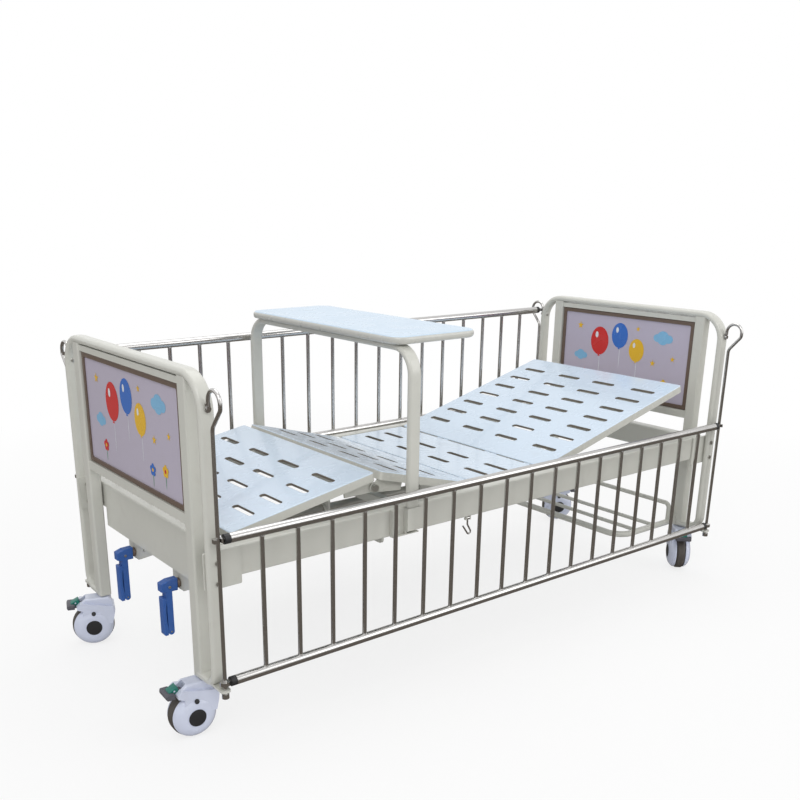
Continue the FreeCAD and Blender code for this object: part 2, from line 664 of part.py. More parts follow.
def axle_arm(y):
    """Arm that hangs the guide axle under the calf pan."""
    low = DECK_TOP - LIP
    arm = prism([(AXLE_X - 22, low), (AXLE_X + 22, low), (AXLE_X + 11, AXLE_Z), (AXLE_X - 11, AXLE_Z)],
                "xz", y, y + LUG_T)
    arm = arm.fuse(cylinder((AXLE_X, y, AXLE_Z), (AXLE_X, y + LUG_T, AXLE_Z), 11))
    return arm.cut(cylinder((AXLE_X, y - 1, AXLE_Z), (AXLE_X, y + LUG_T + 1, AXLE_Z), AXLE_R + RUN))


ARM_Y = GUIDE_Y + GUIDE_T + 3
CALF_BARS = [CALF_X1 - 26] + [x - CALF_PITCH / 2.0 for x in CALF_ROWS[:3]] + [AXLE_X]
calf = [pan(CALF_X0, CALF_X1, CALF_ROWS, CALF_BARS)]
calf += [knee_lug(-1, y) for y in CALF_LUGS]
calf += [axle_arm(y) for y in (ARM_Y, -ARM_Y - LUG_T)]
save(place_calf(fuse(calf), THIGH_REST), "calf_section")
axle = cylinder((AXLE_X, -ARM_Y - LUG_T - 6, AXLE_Z), (AXLE_X, ARM_Y + LUG_T + 6, AXLE_Z), AXLE_R)
save(place_calf(axle, THIGH_REST), "calf_axle")


def calf_guide(y):
    """Plate on the foot beam whose curved slot leads the calf's axle."""
    steps = 15
    path = [axle_at(THIGH_MAX * i / float(steps)) for i in range(steps + 1)]
    play = AXLE_R + 0.8
    far = path[-1][0] + GUIDE_EDGE
    top = path[-1][1] + GUIDE_RIM
    low = AXLE_Z - 18
    plate = prism([(-END_IN, low), (-END_IN, top), (far - 12, top), (far, top - 12),
                   (far, top - 2 * GUIDE_RIM), (far - 62, low)], "xz", y, y + GUIDE_T)
    for i, (x, z) in enumerate(path):
        plate = plate.cut(cylinder((x, y - 1, z), (x, y + GUIDE_T + 1, z), play))
        if i == 0:
            continue
        px, pz = path[i - 1]
        run = math.hypot(x - px, z - pz)
        nx, nz = -(z - pz) / run * play, (x - px) / run * play
        link = [(px + nx, pz + nz), (x + nx, z + nz), (x - nx, z - nz), (px - nx, pz - nz)]
        plate = plate.cut(prism(link, "xz", y - 1, y + GUIDE_T + 1))
    return plate


save(Part.makeCompound([calf_guide(-GUIDE_Y - GUIDE_T), calf_guide(GUIDE_Y)]), "calf_guides")

# --- crank drives ------------------------------------------------------------
NUT_X = -BOARD_X + 370
NUT_L = 40
SHOULDER_X = -END_OUT + 28


def push_tube(y, pin_x):
    end = pin_x + 25
    body = cylinder((NUT_X, y, SHAFT_Z), (end, y, SHAFT_Z), TUBE_R)
    lug = box(pin_x - 14, pin_x + 14, y - 5, y + 5, SHAFT_Z + TUBE_R - 4, DRIVE_Z + 14)
    lug = fillet_where(lug, 12, lambda e: is_along(e, Y_AXIS) and e.CenterOfMass.z > DRIVE_Z)
    pin = cylinder((pin_x, y - 19, DRIVE_Z), (pin_x, y + 19, DRIVE_Z), DRIVE_PIN_R)
    body = fuse([body, lug, pin])
    body = body.cut(cylinder((NUT_X + NUT_L, y, SHAFT_Z), (end - 6, y, SHAFT_Z), TUBE_BORE))
    return body.cut(cylinder((NUT_X - 1, y, SHAFT_Z), (NUT_X + NUT_L + 1, y, SHAFT_Z), SCREW_R + RUN))


CRANK_IN = -END_OUT + 3
CRANK_OUT = CRANK_IN - 48
ARM_X1 = CRANK_IN - 18
ARM_T = 17
ARM_HALF = 13
SHAFT_END = ARM_X1 - 15
GRIP_X1 = ARM_X1 - ARM_T - CLEAR
GRIP_T = 11
GRIP_HOLLOW = 3     # depth of the curved hollow between grip and arm
FOLD_Z = SHAFT_Z - 131
FOLD_X = ARM_X1 - ARM_T / 2.0
FOLD_R = 3
FOLD_EYE = 7


def crank_screw(y, end):
    shaft = cylinder((SHAFT_END, y, SHAFT_Z), (SHOULDER_X, y, SHAFT_Z), SHAFT_R)
    screw = cylinder((SHOULDER_X, y, SHAFT_Z), (end, y, SHAFT_Z), SCREW_R)
    return shaft.fuse(screw)


BACK_PIN_X = BACK_X + LEVER_R * math.tan(math.radians(BACK_REST - BACK_SWING))
KNEE_PIN_X = THIGH_X - LEVER_R * math.tan(math.radians(THIGH_REST - KNEE_SWING))
save(push_tube(CRANK_Y, BACK_PIN_X), "back_push_tube")
save(push_tube(-CRANK_Y, KNEE_PIN_X), "knee_push_tube")
save(crank_screw(CRANK_Y, NUT_X + 160), "back_crank_screw")
save(crank_screw(-CRANK_Y, NUT_X + 85), "knee_crank_screw")


def crank_arm(y):
    """Crank head and arm, hanging straight down."""
    head = prism([
        (CRANK_IN, SHAFT_Z + 17), (CRANK_IN, SHAFT_Z - 17), (GRIP_X1, SHAFT_Z - 17),
        (CRANK_OUT, SHAFT_Z - 13), (CRANK_OUT, SHAFT_Z + 9), (CRANK_OUT + 20, SHAFT_Z + 16),
    ], "xz", y - ARM_HALF, y + ARM_HALF)
    head = fillet_where(head, 3, lambda e: not is_along(e, Y_AXIS))
    arm = box(GRIP_X1 + CLEAR, ARM_X1, y - ARM_HALF, y + ARM_HALF, FOLD_Z, SHAFT_Z - 10)
    tip = cylinder((FOLD_X, y - ARM_HALF, FOLD_Z), (FOLD_X, y + ARM_HALF, FOLD_Z), ARM_T / 2.0)
    body = fuse([head, arm, tip])
    body = body.cut(box(GRIP_X1, ARM_X1 + 1, y - 4.3, y + 4.3, FOLD_Z - 12, FOLD_Z + 9))
    body = body.cut(cylinder((CRANK_IN + 1, y, SHAFT_Z), (SHAFT_END - 1, y, SHAFT_Z), SHAFT_R + RUN))
    pin = cylinder((FOLD_X, y - ARM_HALF, FOLD_Z), (FOLD_X, y + ARM_HALF, FOLD_Z), FOLD_R)
    return body.fuse(pin)


def crank_grip(y):
    """Grip folded up against the outer side of its arm."""
    low = FOLD_Z - 8
    high = SHAFT_Z - 32
    body = box(GRIP_X1 - GRIP_T, GRIP_X1, y - ARM_HALF, y + ARM_HALF, low, high)
    body = fillet_where(body, 3, lambda e: e.BoundBox.XMax < GRIP_X1 - 1)
    chord = (high - low) / 2.0 - 16
    sweep = (chord * chord + GRIP_HOLLOW * GRIP_HOLLOW) / (2.0 * GRIP_HOLLOW)
    hollow_x = GRIP_X1 - GRIP_HOLLOW + sweep
    middle = (high + low) / 2.0 + 6
    side = ARM_HALF + 1
    body = body.cut(cylinder((hollow_x, y - side, middle), (hollow_x, y + side, middle), sweep))
    tongue = box(GRIP_X1 - 1, FOLD_X, y - 4, y + 4, FOLD_Z - FOLD_EYE, FOLD_Z + FOLD_EYE)
    eye = cylinder((FOLD_X, y - 4, FOLD_Z), (FOLD_X, y + 4, FOLD_Z), FOLD_EYE)
    grip = fuse([body, tongue, eye])
    return grip.cut(cylinder((FOLD_X, y - 5, FOLD_Z), (FOLD_X, y + 5, FOLD_Z), FOLD_R + RUN))


for name, y in (("back", CRANK_Y), ("knee", -CRANK_Y)):
    save(crank_arm(y), name + "_crank_arm")
    save(crank_grip(y), name + "_crank_grip")

# --- guide rods and rails, drawn for the far side ----------------------------
BOLT_HEAD = 5
EYE_END = BOARD_X - 12


def guide_rod(x):
    arch_r = (ROD_OUT - ROD_IN) / 2.0
    top = ARCH_Z + arch_r
    wire = bent_wire([
        (x, ROD_Y, ROD_FOOT), (x, ROD_Y, KINK_Z), (x, ROD_OUT, KINK_TOP), (x, ROD_OUT, top),
        (x, ROD_IN, top), (x, ROD_IN, PAD_Z - 2),
    ], (25, 15, arch_r, arch_r))
    face = LOOP_Y + LOOP_T / 2.0
    pad = box(x - 7, x + 7, face + SEAT, face + SEAT + 4, ROD_BOLT_Z - 9, PAD_Z + 2)
    pad = fillet_where(pad, 5, lambda e: is_along(e, Y_AXIS) and e.CenterOfMass.z < ROD_BOLT_Z)
    pad = pad.cut(cylinder((x, face, ROD_BOLT_Z), (x, face + 6, ROD_BOLT_Z), ROD_BOLT_R + RUN))
    rod = round_sweep(wire, ROD_R).fuse(pad)
    head_y = face + SEAT + 4
    bolt = cylinder((x, face - 8, ROD_BOLT_Z), (x, head_y + 1, ROD_BOLT_Z), ROD_BOLT_R)
    bolt = bolt.fuse(cylinder((x, head_y, ROD_BOLT_Z), (x, head_y + BOLT_HEAD, ROD_BOLT_Z), 6))
    nut = cylinder((x, ROD_Y, LEG_BOTTOM - 15), (x, ROD_Y, LEG_BOTTOM - 3), 9.5)
    nut = nut.cut(cylinder((x, ROD_Y, ROD_FOOT), (x, ROD_Y, LEG_BOTTOM), ROD_R + RUN))
    return Part.makeCompound([rod, bolt, nut])


for end, x in (("foot", -BOARD_X), ("head", BOARD_X)):
    save(guide_rod(x), "guide_rod_" + end + "_far")
    save(mirror_y(guide_rod(x)), "guide_rod_" + end + "_near")


def rail_tube(z, eye):
    """Closed rail tube with the end cores and guide eyes that are welded to it."""
    bore_end = RAIL_END - 3
    body = cylinder((-RAIL_END, ROD_Y, z), (RAIL_END, ROD_Y, z), RAIL_R)
    body = body.cut(cylinder((-bore_end, ROD_Y, z), (bore_end, ROD_Y, z), RAIL_R - RAIL_WALL))
    ends = [cylinder((sign * (RAIL_END - 1), ROD_Y, z), (sign * EYE_END, ROD_Y, z), STUB_R)
            for sign in (-1, 1)]
    ends += [eye.translated(V(x, 0, z)) for x in (-BOARD_X, BOARD_X)]
    body = fuse([body] + ends)
    hole = ROD_R + SEAT
    for x in (-BOARD_X, BOARD_X):
        body = body.cut(cylinder((x, ROD_Y, z - 9), (x, ROD_Y, z + 9), hole))
    return body


def rail(bottom_z):
    """Side rail on the far side, its lower tube at bottom_z, with the bars welded between the tubes."""
    top_z = bottom_z + RAIL_H
    ring = cylinder((0, ROD_Y, -RING_H / 2.0), (0, ROD_Y, RING_H / 2.0), RING_R)
    half = 9.2
    clip = box(-14, 14, ROD_Y - half, ROD_Y + half, -RING_H / 2.0, RING_H / 2.0)
    clip = fillet_where(clip, 6, lambda e: is_along(e, Z_AXIS))
    upper = rail_tube(top_z, clip)
    mouth = ROD_R + SEAT
    for x in (-BOARD_X, BOARD_X):
        upper = upper.cut(box(x - mouth, x + mouth, ROD_Y, ROD_Y + 20, top_z - 9, top_z + 9))
    pieces = [rail_tube(bottom_z, ring), upper]
    for i in range(BAR_N):
        x = (i - (BAR_N - 1) / 2.0) * BAR_PITCH
        bar = cylinder((x, ROD_Y, bottom_z), (x, ROD_Y, top_z), BAR_R)
        bar = bar.cut(cylinder((x, ROD_Y, bottom_z), (x, ROD_Y, top_z), BAR_R - BAR_WALL))
        for z in (bottom_z, top_z):
            bar = bar.cut(cylinder((x - 20, ROD_Y, z), (x + 20, ROD_Y, z), RAIL_R))
        pieces.append(bar)
    return Part.makeCompound(pieces)


def rail_plugs(bottom_z):
    plugs = []
    for sign in (-1, 1):
        for z in (bottom_z, bottom_z + RAIL_H):
            x0, x1 = sign * (RAIL_END + 0.1), sign * (BOARD_X - 15)
            plug = cylinder((x0, ROD_Y, z), (x1, ROD_Y, z), RAIL_R)
            plugs.append(plug.cut(cylinder((x0, ROD_Y, z), (x1, ROD_Y, z), STUB_R + RUN)))
    return Part.makeCompound(plugs)


RAIL_HIGH = RAIL_LOW + RAIL_TRAVEL
save(mirror_y(rail(RAIL_LOW)), "rail_near")
save(rail(RAIL_HIGH), "rail_far")
save(mirror_y(rail_plugs(RAIL_LOW)), "rail_plugs_near")
save(rail_plugs(RAIL_HIGH), "rail_plugs_far")

# --- storage rack ------------------------------------------------------------
LEG_FACE = BOARD_X - LEG_D / 2.0
frame_points = [(LEG_FACE - 6, -RACK_Y, RACK_Z), (RACK_X0, -RACK_Y, RACK_Z),
                (RACK_X0, RACK_Y, RACK_Z), (LEG_FACE - 6, RACK_Y, RACK_Z)]
rack = [round_sweep(bent_wire(frame_points, (RACK_BEND, RACK_BEND)), RACK_R)]
for x in RACK_BARS:
    rack.append(cylinder((x, -RACK_Y, RACK_Z), (x, RACK_Y, RACK_Z), RACK_BAR_R))
hoop_x = LEG_FACE - 18
hoop = bent_wire([(hoop_x, -RACK_Y, RACK_Z), (hoop_x, -RACK_Y, RACK_RAISE),
                  (hoop_x, RACK_Y, RACK_RAISE), (hoop_x, RACK_Y, RACK_Z)], (18, 18))
rack.append(round_sweep(hoop, RACK_HOOP_R))
for sign in (-1, 1):
    y0, y1 = sorted((sign * (RACK_Y - 16), sign * (LEG_Y - 2)))
    rack.append(fillet_where(box(LEG_FACE - 6, LEG_FACE, y0, y1, LEG_BOTTOM + 2, RACK_Z + 34), 5,
                             lambda e: is_along(e, X_AXIS)))
rack = fuse(rack)
rack = rack.cut(round_sweep(bent_wire(frame_points, (RACK_BEND, RACK_BEND)), RACK_R - 1.5))
save(rack, "storage_rack")

# --- over-bed table ----------------------------------------------------------
top_run = TABLE_Z1 - TABLE_T - TABLE_TUBE_T / 2.0
leg_points = [(TABLE_LEG_X, -TABLE_LEG_Y, TABLE_LEG_BOTTOM), (TABLE_LEG_X, -TABLE_LEG_Y, top_run),
              (TABLE_LEG_X, TABLE_LEG_Y, top_run), (TABLE_LEG_X, TABLE_LEG_Y, TABLE_LEG_BOTTOM)]
table_outer, table_inner = oval_pipe(leg_points, (TABLE_BEND, TABLE_BEND), X_AXIS, Y_AXIS,
                                     TABLE_TUBE_W, TABLE_TUBE_T, 1.5)
arms = [box(TABLE_LEG_X, TABLE_X1 - 40, y - 15, y + 15, TABLE_Z1 - TABLE_T - 6, TABLE_Z1 - TABLE_T)
        for y in (-190, 190)]
save(fuse([table_outer] + arms).cut(table_inner), "table_frame")
board = box(TABLE_X0, TABLE_X1, -TABLE_HALF, TABLE_HALF, TABLE_Z1 - TABLE_T, TABLE_Z1)
board = fillet_where(board, TABLE_CORNER, lambda e: is_along(e, Z_AXIS))
board = fillet_where(board, TABLE_T / 2.0 - 1.5, lambda e: not is_along(e, Z_AXIS))
for y in (-TABLE_HALF * 0.6, TABLE_HALF * 0.6):
    dip = box(TABLE_X1 - 10, TABLE_X1 + 20, y - 54, y + 54, TABLE_Z1 - TABLE_T - 1, TABLE_Z1 + 1)
    board = board.cut(fillet_where(dip, 9, lambda e: is_along(e, Z_AXIS) and e.CenterOfMass.x < TABLE_X1))
save(board, "table_top")

SOCKET_Z0 = SIDE_Z0 + 12
SOCKET_Z1 = SIDE_Z1 - 3


def table_bracket():
    """Socket on the far side beam that a table leg drops into."""
    gap = 0.5
    x0 = TABLE_LEG_X - TABLE_TUBE_W / 2.0 - gap
    x1 = TABLE_LEG_X + TABLE_TUBE_W / 2.0 + gap
    y1 = TABLE_LEG_Y + TABLE_TUBE_T / 2.0 + gap
    socket = box(x0 - 3, x1 + 3, SIDE_OUT, y1 + 3, SOCKET_Z0, SOCKET_Z1)
    socket = socket.cut(box(x0, x1, SIDE_OUT + 0.4, y1, TABLE_LEG_BOTTOM - 1, SOCKET_Z1 + 1))
    plate = box(x0 - 48, x0 - 2, SIDE_OUT, SIDE_OUT + 3, SIDE_Z0, SOCKET_Z1)
    lip = box(x0 - 48, x0 - 45, SIDE_OUT, SIDE_OUT + 14, SIDE_Z0, SOCKET_Z1)
    shelf = box(x0 - 48, x1 + 3, SIDE_OUT, SIDE_OUT + 14, SIDE_Z0, SIDE_Z0 + 3)
    web = box(x0 - 3, x0, SIDE_OUT, SIDE_OUT + 14, SIDE_Z0, SOCKET_Z0 + 1)
    screws = [cylinder((x0 - 24, SIDE_OUT + 2, z), (x0 - 24, SIDE_OUT + 8, z), 6)
              for z in (SOCKET_Z0 + 10, SOCKET_Z1 - 20)]
    return fuse([socket, plate, lip, shelf, web] + screws)


save(table_bracket(), "table_bracket_far")
save(mirror_y(table_bracket()), "table_bracket_near")

# --- drain hook under the near beam ------------------------------------------
hook_points = [(HOOK_X + x, HOOK_Y, HOOK_Z + z)
               for x, z in ((0, -3), (0, -20), (15.6, -45.5), (4.8, -52.7), (-17.5, -22))]
hook = round_sweep(bent_wire(hook_points, (12, 6.4, 6.4)), WIRE_R)
hook = hook.fuse(cylinder((HOOK_X - 5, HOOK_Y, HOOK_Z), (HOOK_X + 5, HOOK_Y, HOOK_Z), 5))
hook = hook.cut(cylinder((HOOK_X - 6, HOOK_Y, HOOK_Z), (HOOK_X + 6, HOOK_Y, HOOK_Z), WIRE_R + RUN))
save(hook, "drain_hook")

# --- beam bolts --------------------------------------------------------------
bolts = []
for sign_x in (-1, 1):
    for sign_y in (-1, 1):
        for z in BOLT_Z:
            x = sign_x * BOLT_X
            inner = sign_y * SIDE_OUT
            outer = sign_y * (LOOP_Y + LOOP_T / 2.0)
            bolt = cylinder((x, inner - sign_y * 5, z), (x, outer + sign_y * 4, z), BOLT_R)
            bolt = bolt.fuse(cylinder((x, inner - sign_y * 5, z), (x, inner, z), 7.5))
            bolts.append(bolt.fuse(cylinder((x, outer + sign_y * 0.1, z), (x, outer + sign_y * 4, z), 6.5)))
save(Part.makeCompound(bolts), "beam_bolts")

# --- casters, drawn with the stem on the Z axis and trailing towards +X ------
PEDAL_X = 66
PEDAL_Z = CASTER_TOP - 24
PEDAL_TIP = 112
PEDAL_HALF = 27
PEDAL_ARM = 13
PEDAL_PIN_R = 3
CAVITY_R = WHEEL_R + 3


def side_cover():
    """Solid of revolution of both domed side covers about the wheel's axle."""
    middle_r = SHELL_R * 0.8
    middle_y = SHELL_RIM + (SHELL_CROWN - SHELL_RIM) * 0.68
    rim = V(SHELL_R, SHELL_RIM, 0)
    crown = V(CAP_R + 2, SHELL_CROWN, 0)
    edges = [
        Part.LineSegment(ORIGIN, V(SHELL_R, 0, 0)).toShape(),
        Part.LineSegment(V(SHELL_R, 0, 0), rim).toShape(),
        Part.Arc(rim, V(middle_r, middle_y, 0), crown).toShape(),
        Part.LineSegment(crown, V(0, SHELL_CROWN, 0)).toShape(),
        Part.LineSegment(V(0, SHELL_CROWN, 0), ORIGIN).toShape(),
    ]
    half = Part.Face(Part.Wire(edges)).revolve(ORIGIN, Y_AXIS, 360)
    return fuse([half, mirror_y(half)]).translated(V(TRAIL, 0, WHEEL_R))


def caster_shell():
    """Hood, domed covers, stem, axle, hub caps and pedal pin."""
    hood = prism([
        (-19, 68), (-29, CASTER_TOP - 42), (-28, CASTER_TOP - 30), (72, CASTER_TOP - 10),
        (84, CASTER_TOP - 20), (83, CASTER_TOP - 29), (66, CASTER_TOP - 36), (70, 68),
    ], "xz", -HOOD_HALF, HOOD_HALF)
    hood = fillet_where(hood, 7, lambda e: e.CenterOfMass.z > CASTER_TOP - 44 and e.CenterOfMass.x < 20
                        and not is_along(e, Y_AXIS))
    crown = prism([
        (-24, CASTER_TOP - 36), (-20, CASTER_TOP - 8), (-12, CASTER_TOP), (56, CASTER_TOP),
        (72, CASTER_TOP - 12), (72, CASTER_TOP - 30),
    ], "xz", -24, 24)
    crown = fillet_where(crown, 6, lambda e: e.CenterOfMass.z > CASTER_TOP - 10 and not is_along(e, Y_AXIS))
    body = fuse([side_cover(), hood, crown])
    slot = TYRE_W / 2.0 + SHELL_GAP
    body = body.cut(cylinder((TRAIL, -slot, WHEEL_R), (TRAIL, slot, WHEEL_R), CAVITY_R))
    mouth = PEDAL_ARM + 1
    body = body.cut(box(PEDAL_X - 10, PEDAL_X + 40, -mouth, mouth, PEDAL_Z - 13, CASTER_TOP + 20))
    stem = cylinder((0, 0, CASTER_TOP - 18), (0, 0, LEG_BOTTOM + STEM_L), STEM_R)
    axle = cylinder((TRAIL, -slot - 2, WHEEL_R), (TRAIL, slot + 2, WHEEL_R), AXLE_PIN_R)
    reach = PEDAL_ARM + 3
    pin = cylinder((PEDAL_X, -reach, PEDAL_Z), (PEDAL_X, reach, PEDAL_Z), PEDAL_PIN_R)
    shapes = [body, stem, axle, pin]
    for side in (-1, 1):
        inner, outer = side * (SHELL_CROWN - 3), side * (SHELL_CROWN + 1)
        shapes.append(cylinder((TRAIL, inner, WHEEL_R), (TRAIL, outer, WHEEL_R), CAP_R))
    return fuse(shapes)


def wheel_core():
    half = TYRE_W / 2.0 - 1
    core = cylinder((TRAIL, -half, WHEEL_R), (TRAIL, half, WHEEL_R), CORE_R)
    for y0, y1 in ((-half, -5), (5, half)):
        dish = cylinder((TRAIL, y0, WHEEL_R), (TRAIL, y1, WHEEL_R), CORE_R - 5)
        core = core.cut(dish.cut(cylinder((TRAIL, y0, WHEEL_R), (TRAIL, y1, WHEEL_R), 14)))
    return core.cut(cylinder((TRAIL, -half - 1, WHEEL_R), (TRAIL, half + 1, WHEEL_R), AXLE_PIN_R + RUN))


def tyre():
    half = TYRE_W / 2.0
    ring = cylinder((TRAIL, -half, WHEEL_R), (TRAIL, half, WHEEL_R), WHEEL_R)
    ring = fillet_where(ring, 8, lambda e: abs(e.Length - 2 * math.pi * WHEEL_R) < 1)
    return ring.cut(cylinder((TRAIL, -half, WHEEL_R), (TRAIL, half, WHEEL_R), CORE_R + RUN))


def pedal():
    hub = cylinder((PEDAL_X, -PEDAL_ARM, PEDAL_Z), (PEDAL_X, PEDAL_ARM, PEDAL_Z), 7)
    arm = box(PEDAL_X, PEDAL_X + 26, -PEDAL_ARM, PEDAL_ARM, PEDAL_Z - 5, PEDAL_Z + 5)
    pad = box(PEDAL_X + 23, PEDAL_TIP, -PEDAL_HALF, PEDAL_HALF, PEDAL_Z - 4, PEDAL_Z + 9)
    pad = fillet_where(pad, 5, lambda e: e.BoundBox.XMin > PEDAL_TIP - 1)
    wedge = prism([(PEDAL_X + 6, PEDAL_Z + 4), (PEDAL_X + 12, PEDAL_Z + 22), (PEDAL_X + 34, PEDAL_Z + 10),
                   (PEDAL_X + 34, PEDAL_Z + 4)], "xz", -PEDAL_ARM, PEDAL_ARM)
    body = fuse([hub, arm, pad, wedge])
    reach = PEDAL_ARM + 1
    return body.cut(cylinder((PEDAL_X, -reach, PEDAL_Z), (PEDAL_X, reach, PEDAL_Z), PEDAL_PIN_R + RUN))


pieces = {"shell": caster_shell(), "wheel": wheel_core(), "tyre": tyre(), "pedal": pedal()}
for corner, (x, y, heading) in CASTERS.items():
    for piece, shape in pieces.items():
        placed = shape.rotated(ORIGIN, Z_AXIS, heading).translated(V(x, y, 0))
        save(placed, "caster_" + corner + "_" + piece)
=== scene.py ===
import json
import math
import bmesh
import bpy
from mathutils import Matrix, Vector


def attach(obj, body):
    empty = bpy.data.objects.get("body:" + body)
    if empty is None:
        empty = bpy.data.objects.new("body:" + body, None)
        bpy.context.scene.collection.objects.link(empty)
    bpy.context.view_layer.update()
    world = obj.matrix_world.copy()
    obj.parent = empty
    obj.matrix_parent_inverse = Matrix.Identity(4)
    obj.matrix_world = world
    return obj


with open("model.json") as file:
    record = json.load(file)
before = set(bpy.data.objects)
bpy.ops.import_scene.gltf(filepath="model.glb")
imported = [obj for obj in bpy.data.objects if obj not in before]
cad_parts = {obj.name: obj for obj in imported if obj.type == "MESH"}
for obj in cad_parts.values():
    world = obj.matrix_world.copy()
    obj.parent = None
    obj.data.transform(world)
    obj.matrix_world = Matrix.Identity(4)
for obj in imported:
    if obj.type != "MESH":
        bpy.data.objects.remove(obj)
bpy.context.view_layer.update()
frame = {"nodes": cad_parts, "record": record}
cad = frame["nodes"]
print("stage: frame loaded")

# inputs of a Mix node that blends colours
mixFactor, mixFirst, mixSecond, mixColour = 0, 6, 7, 2


def newGroup(name, inputs, outputs):
    group = bpy.data.node_groups.new(name, "ShaderNodeTree")
    for label, kind, value in inputs:
        socket = group.interface.new_socket(label, in_out="INPUT", socket_type=kind)
        if value is not None:
            socket.default_value = value
    for label, kind in outputs:
        group.interface.new_socket(label, in_out="OUTPUT", socket_type=kind)
    return group, group.nodes.new("NodeGroupInput"), group.nodes.new("NodeGroupOutput")


def addNode(tree, kind, links=None, **values):
    node = tree.nodes.new(kind)
    for key, value in values.items():
        if key.startswith("in_"):
            name = key[3:].replace("_", " ")
            node.inputs[int(name) if name.isdigit() else name].default_value = value
        else:
            setattr(node, key, value)
    for target, source in (links or {}).items():
        tree.links.new(source, node.inputs[target])
    return node


# noise scales and details of the shared grain, and the noise values between which its ranges run
grainLook = {"broadScale": 5.0, "broadDetail": 4.0, "fineDetail": 3.0, "smearScale": 17.0,
             "smearDetail": 6.0, "smearDistortion": 0.6, "roughFrom": 0.35, "roughTo": 0.65,
             "spotFrom": 0.56, "spotTo": 0.74, "bumpDistance": 0.0006}


def buildGrainGroup():
    tree, start, end = newGroup(
        "surfaceGrain",
        [("Vector", "NodeSocketVector", None), ("Scale", "NodeSocketFloat", 60.0),
         ("Mottle", "NodeSocketFloat", 0.06), ("Rough low", "NodeSocketFloat", 0.3),
         ("Rough high", "NodeSocketFloat", 0.45), ("Bump", "NodeSocketFloat", 0.05),
         ("Dirt", "NodeSocketFloat", 0.1)],
        [("Shade", "NodeSocketFloat"), ("Roughness", "NodeSocketFloat"),
         ("Normal", "NodeSocketVector"), ("Grime", "NodeSocketFloat")],
    )
    vector = start.outputs["Vector"]
    broad = addNode(tree, "ShaderNodeTexNoise", {"Vector": vector}, in_Scale=grainLook["broadScale"],
                    in_Detail=grainLook["broadDetail"])
    fine = addNode(tree, "ShaderNodeTexNoise", {"Vector": vector, "Scale": start.outputs["Scale"]},
                   in_Detail=grainLook["fineDetail"])
    smear = addNode(tree, "ShaderNodeTexNoise", {"Vector": vector}, in_Scale=grainLook["smearScale"],
                    in_Detail=grainLook["smearDetail"], in_Distortion=grainLook["smearDistortion"])
    drop = addNode(tree, "ShaderNodeMath", {0: broad.outputs["Fac"], 1: start.outputs["Mottle"]},
                   operation="MULTIPLY")
    shade = addNode(tree, "ShaderNodeMath", {1: drop.outputs[0]}, operation="SUBTRACT", in_0=1.0)
    spread = addNode(tree, "ShaderNodeMapRange",
                     {"Value": smear.outputs["Fac"], "To Min": start.outputs["Rough low"],
                      "To Max": start.outputs["Rough high"]},
                     in_From_Min=grainLook["roughFrom"], in_From_Max=grainLook["roughTo"])
    bump = addNode(tree, "ShaderNodeBump",
                   {"Height": fine.outputs["Fac"], "Strength": start.outputs["Bump"]},
                   in_Distance=grainLook["bumpDistance"])
    spots = addNode(tree, "ShaderNodeMapRange", {"Value": smear.outputs["Fac"]},
                    in_From_Min=grainLook["spotFrom"], in_From_Max=grainLook["spotTo"])
    grime = addNode(tree, "ShaderNodeMath", {0: spots.outputs[0], 1: start.outputs["Dirt"]},
                    operation="MULTIPLY")
    tree.links.new(shade.outputs[0], end.inputs["Shade"])
    tree.links.new(spread.outputs[0], end.inputs["Roughness"])
    tree.links.new(bump.outputs["Normal"], end.inputs["Normal"])
    tree.links.new(grime.outputs[0], end.inputs["Grime"])
    return tree


grainGroup = buildGrainGroup()

# painted sky light on a top face fades in between these depths below it
paintedSkyLitFade = (0.0035, 0.0015)
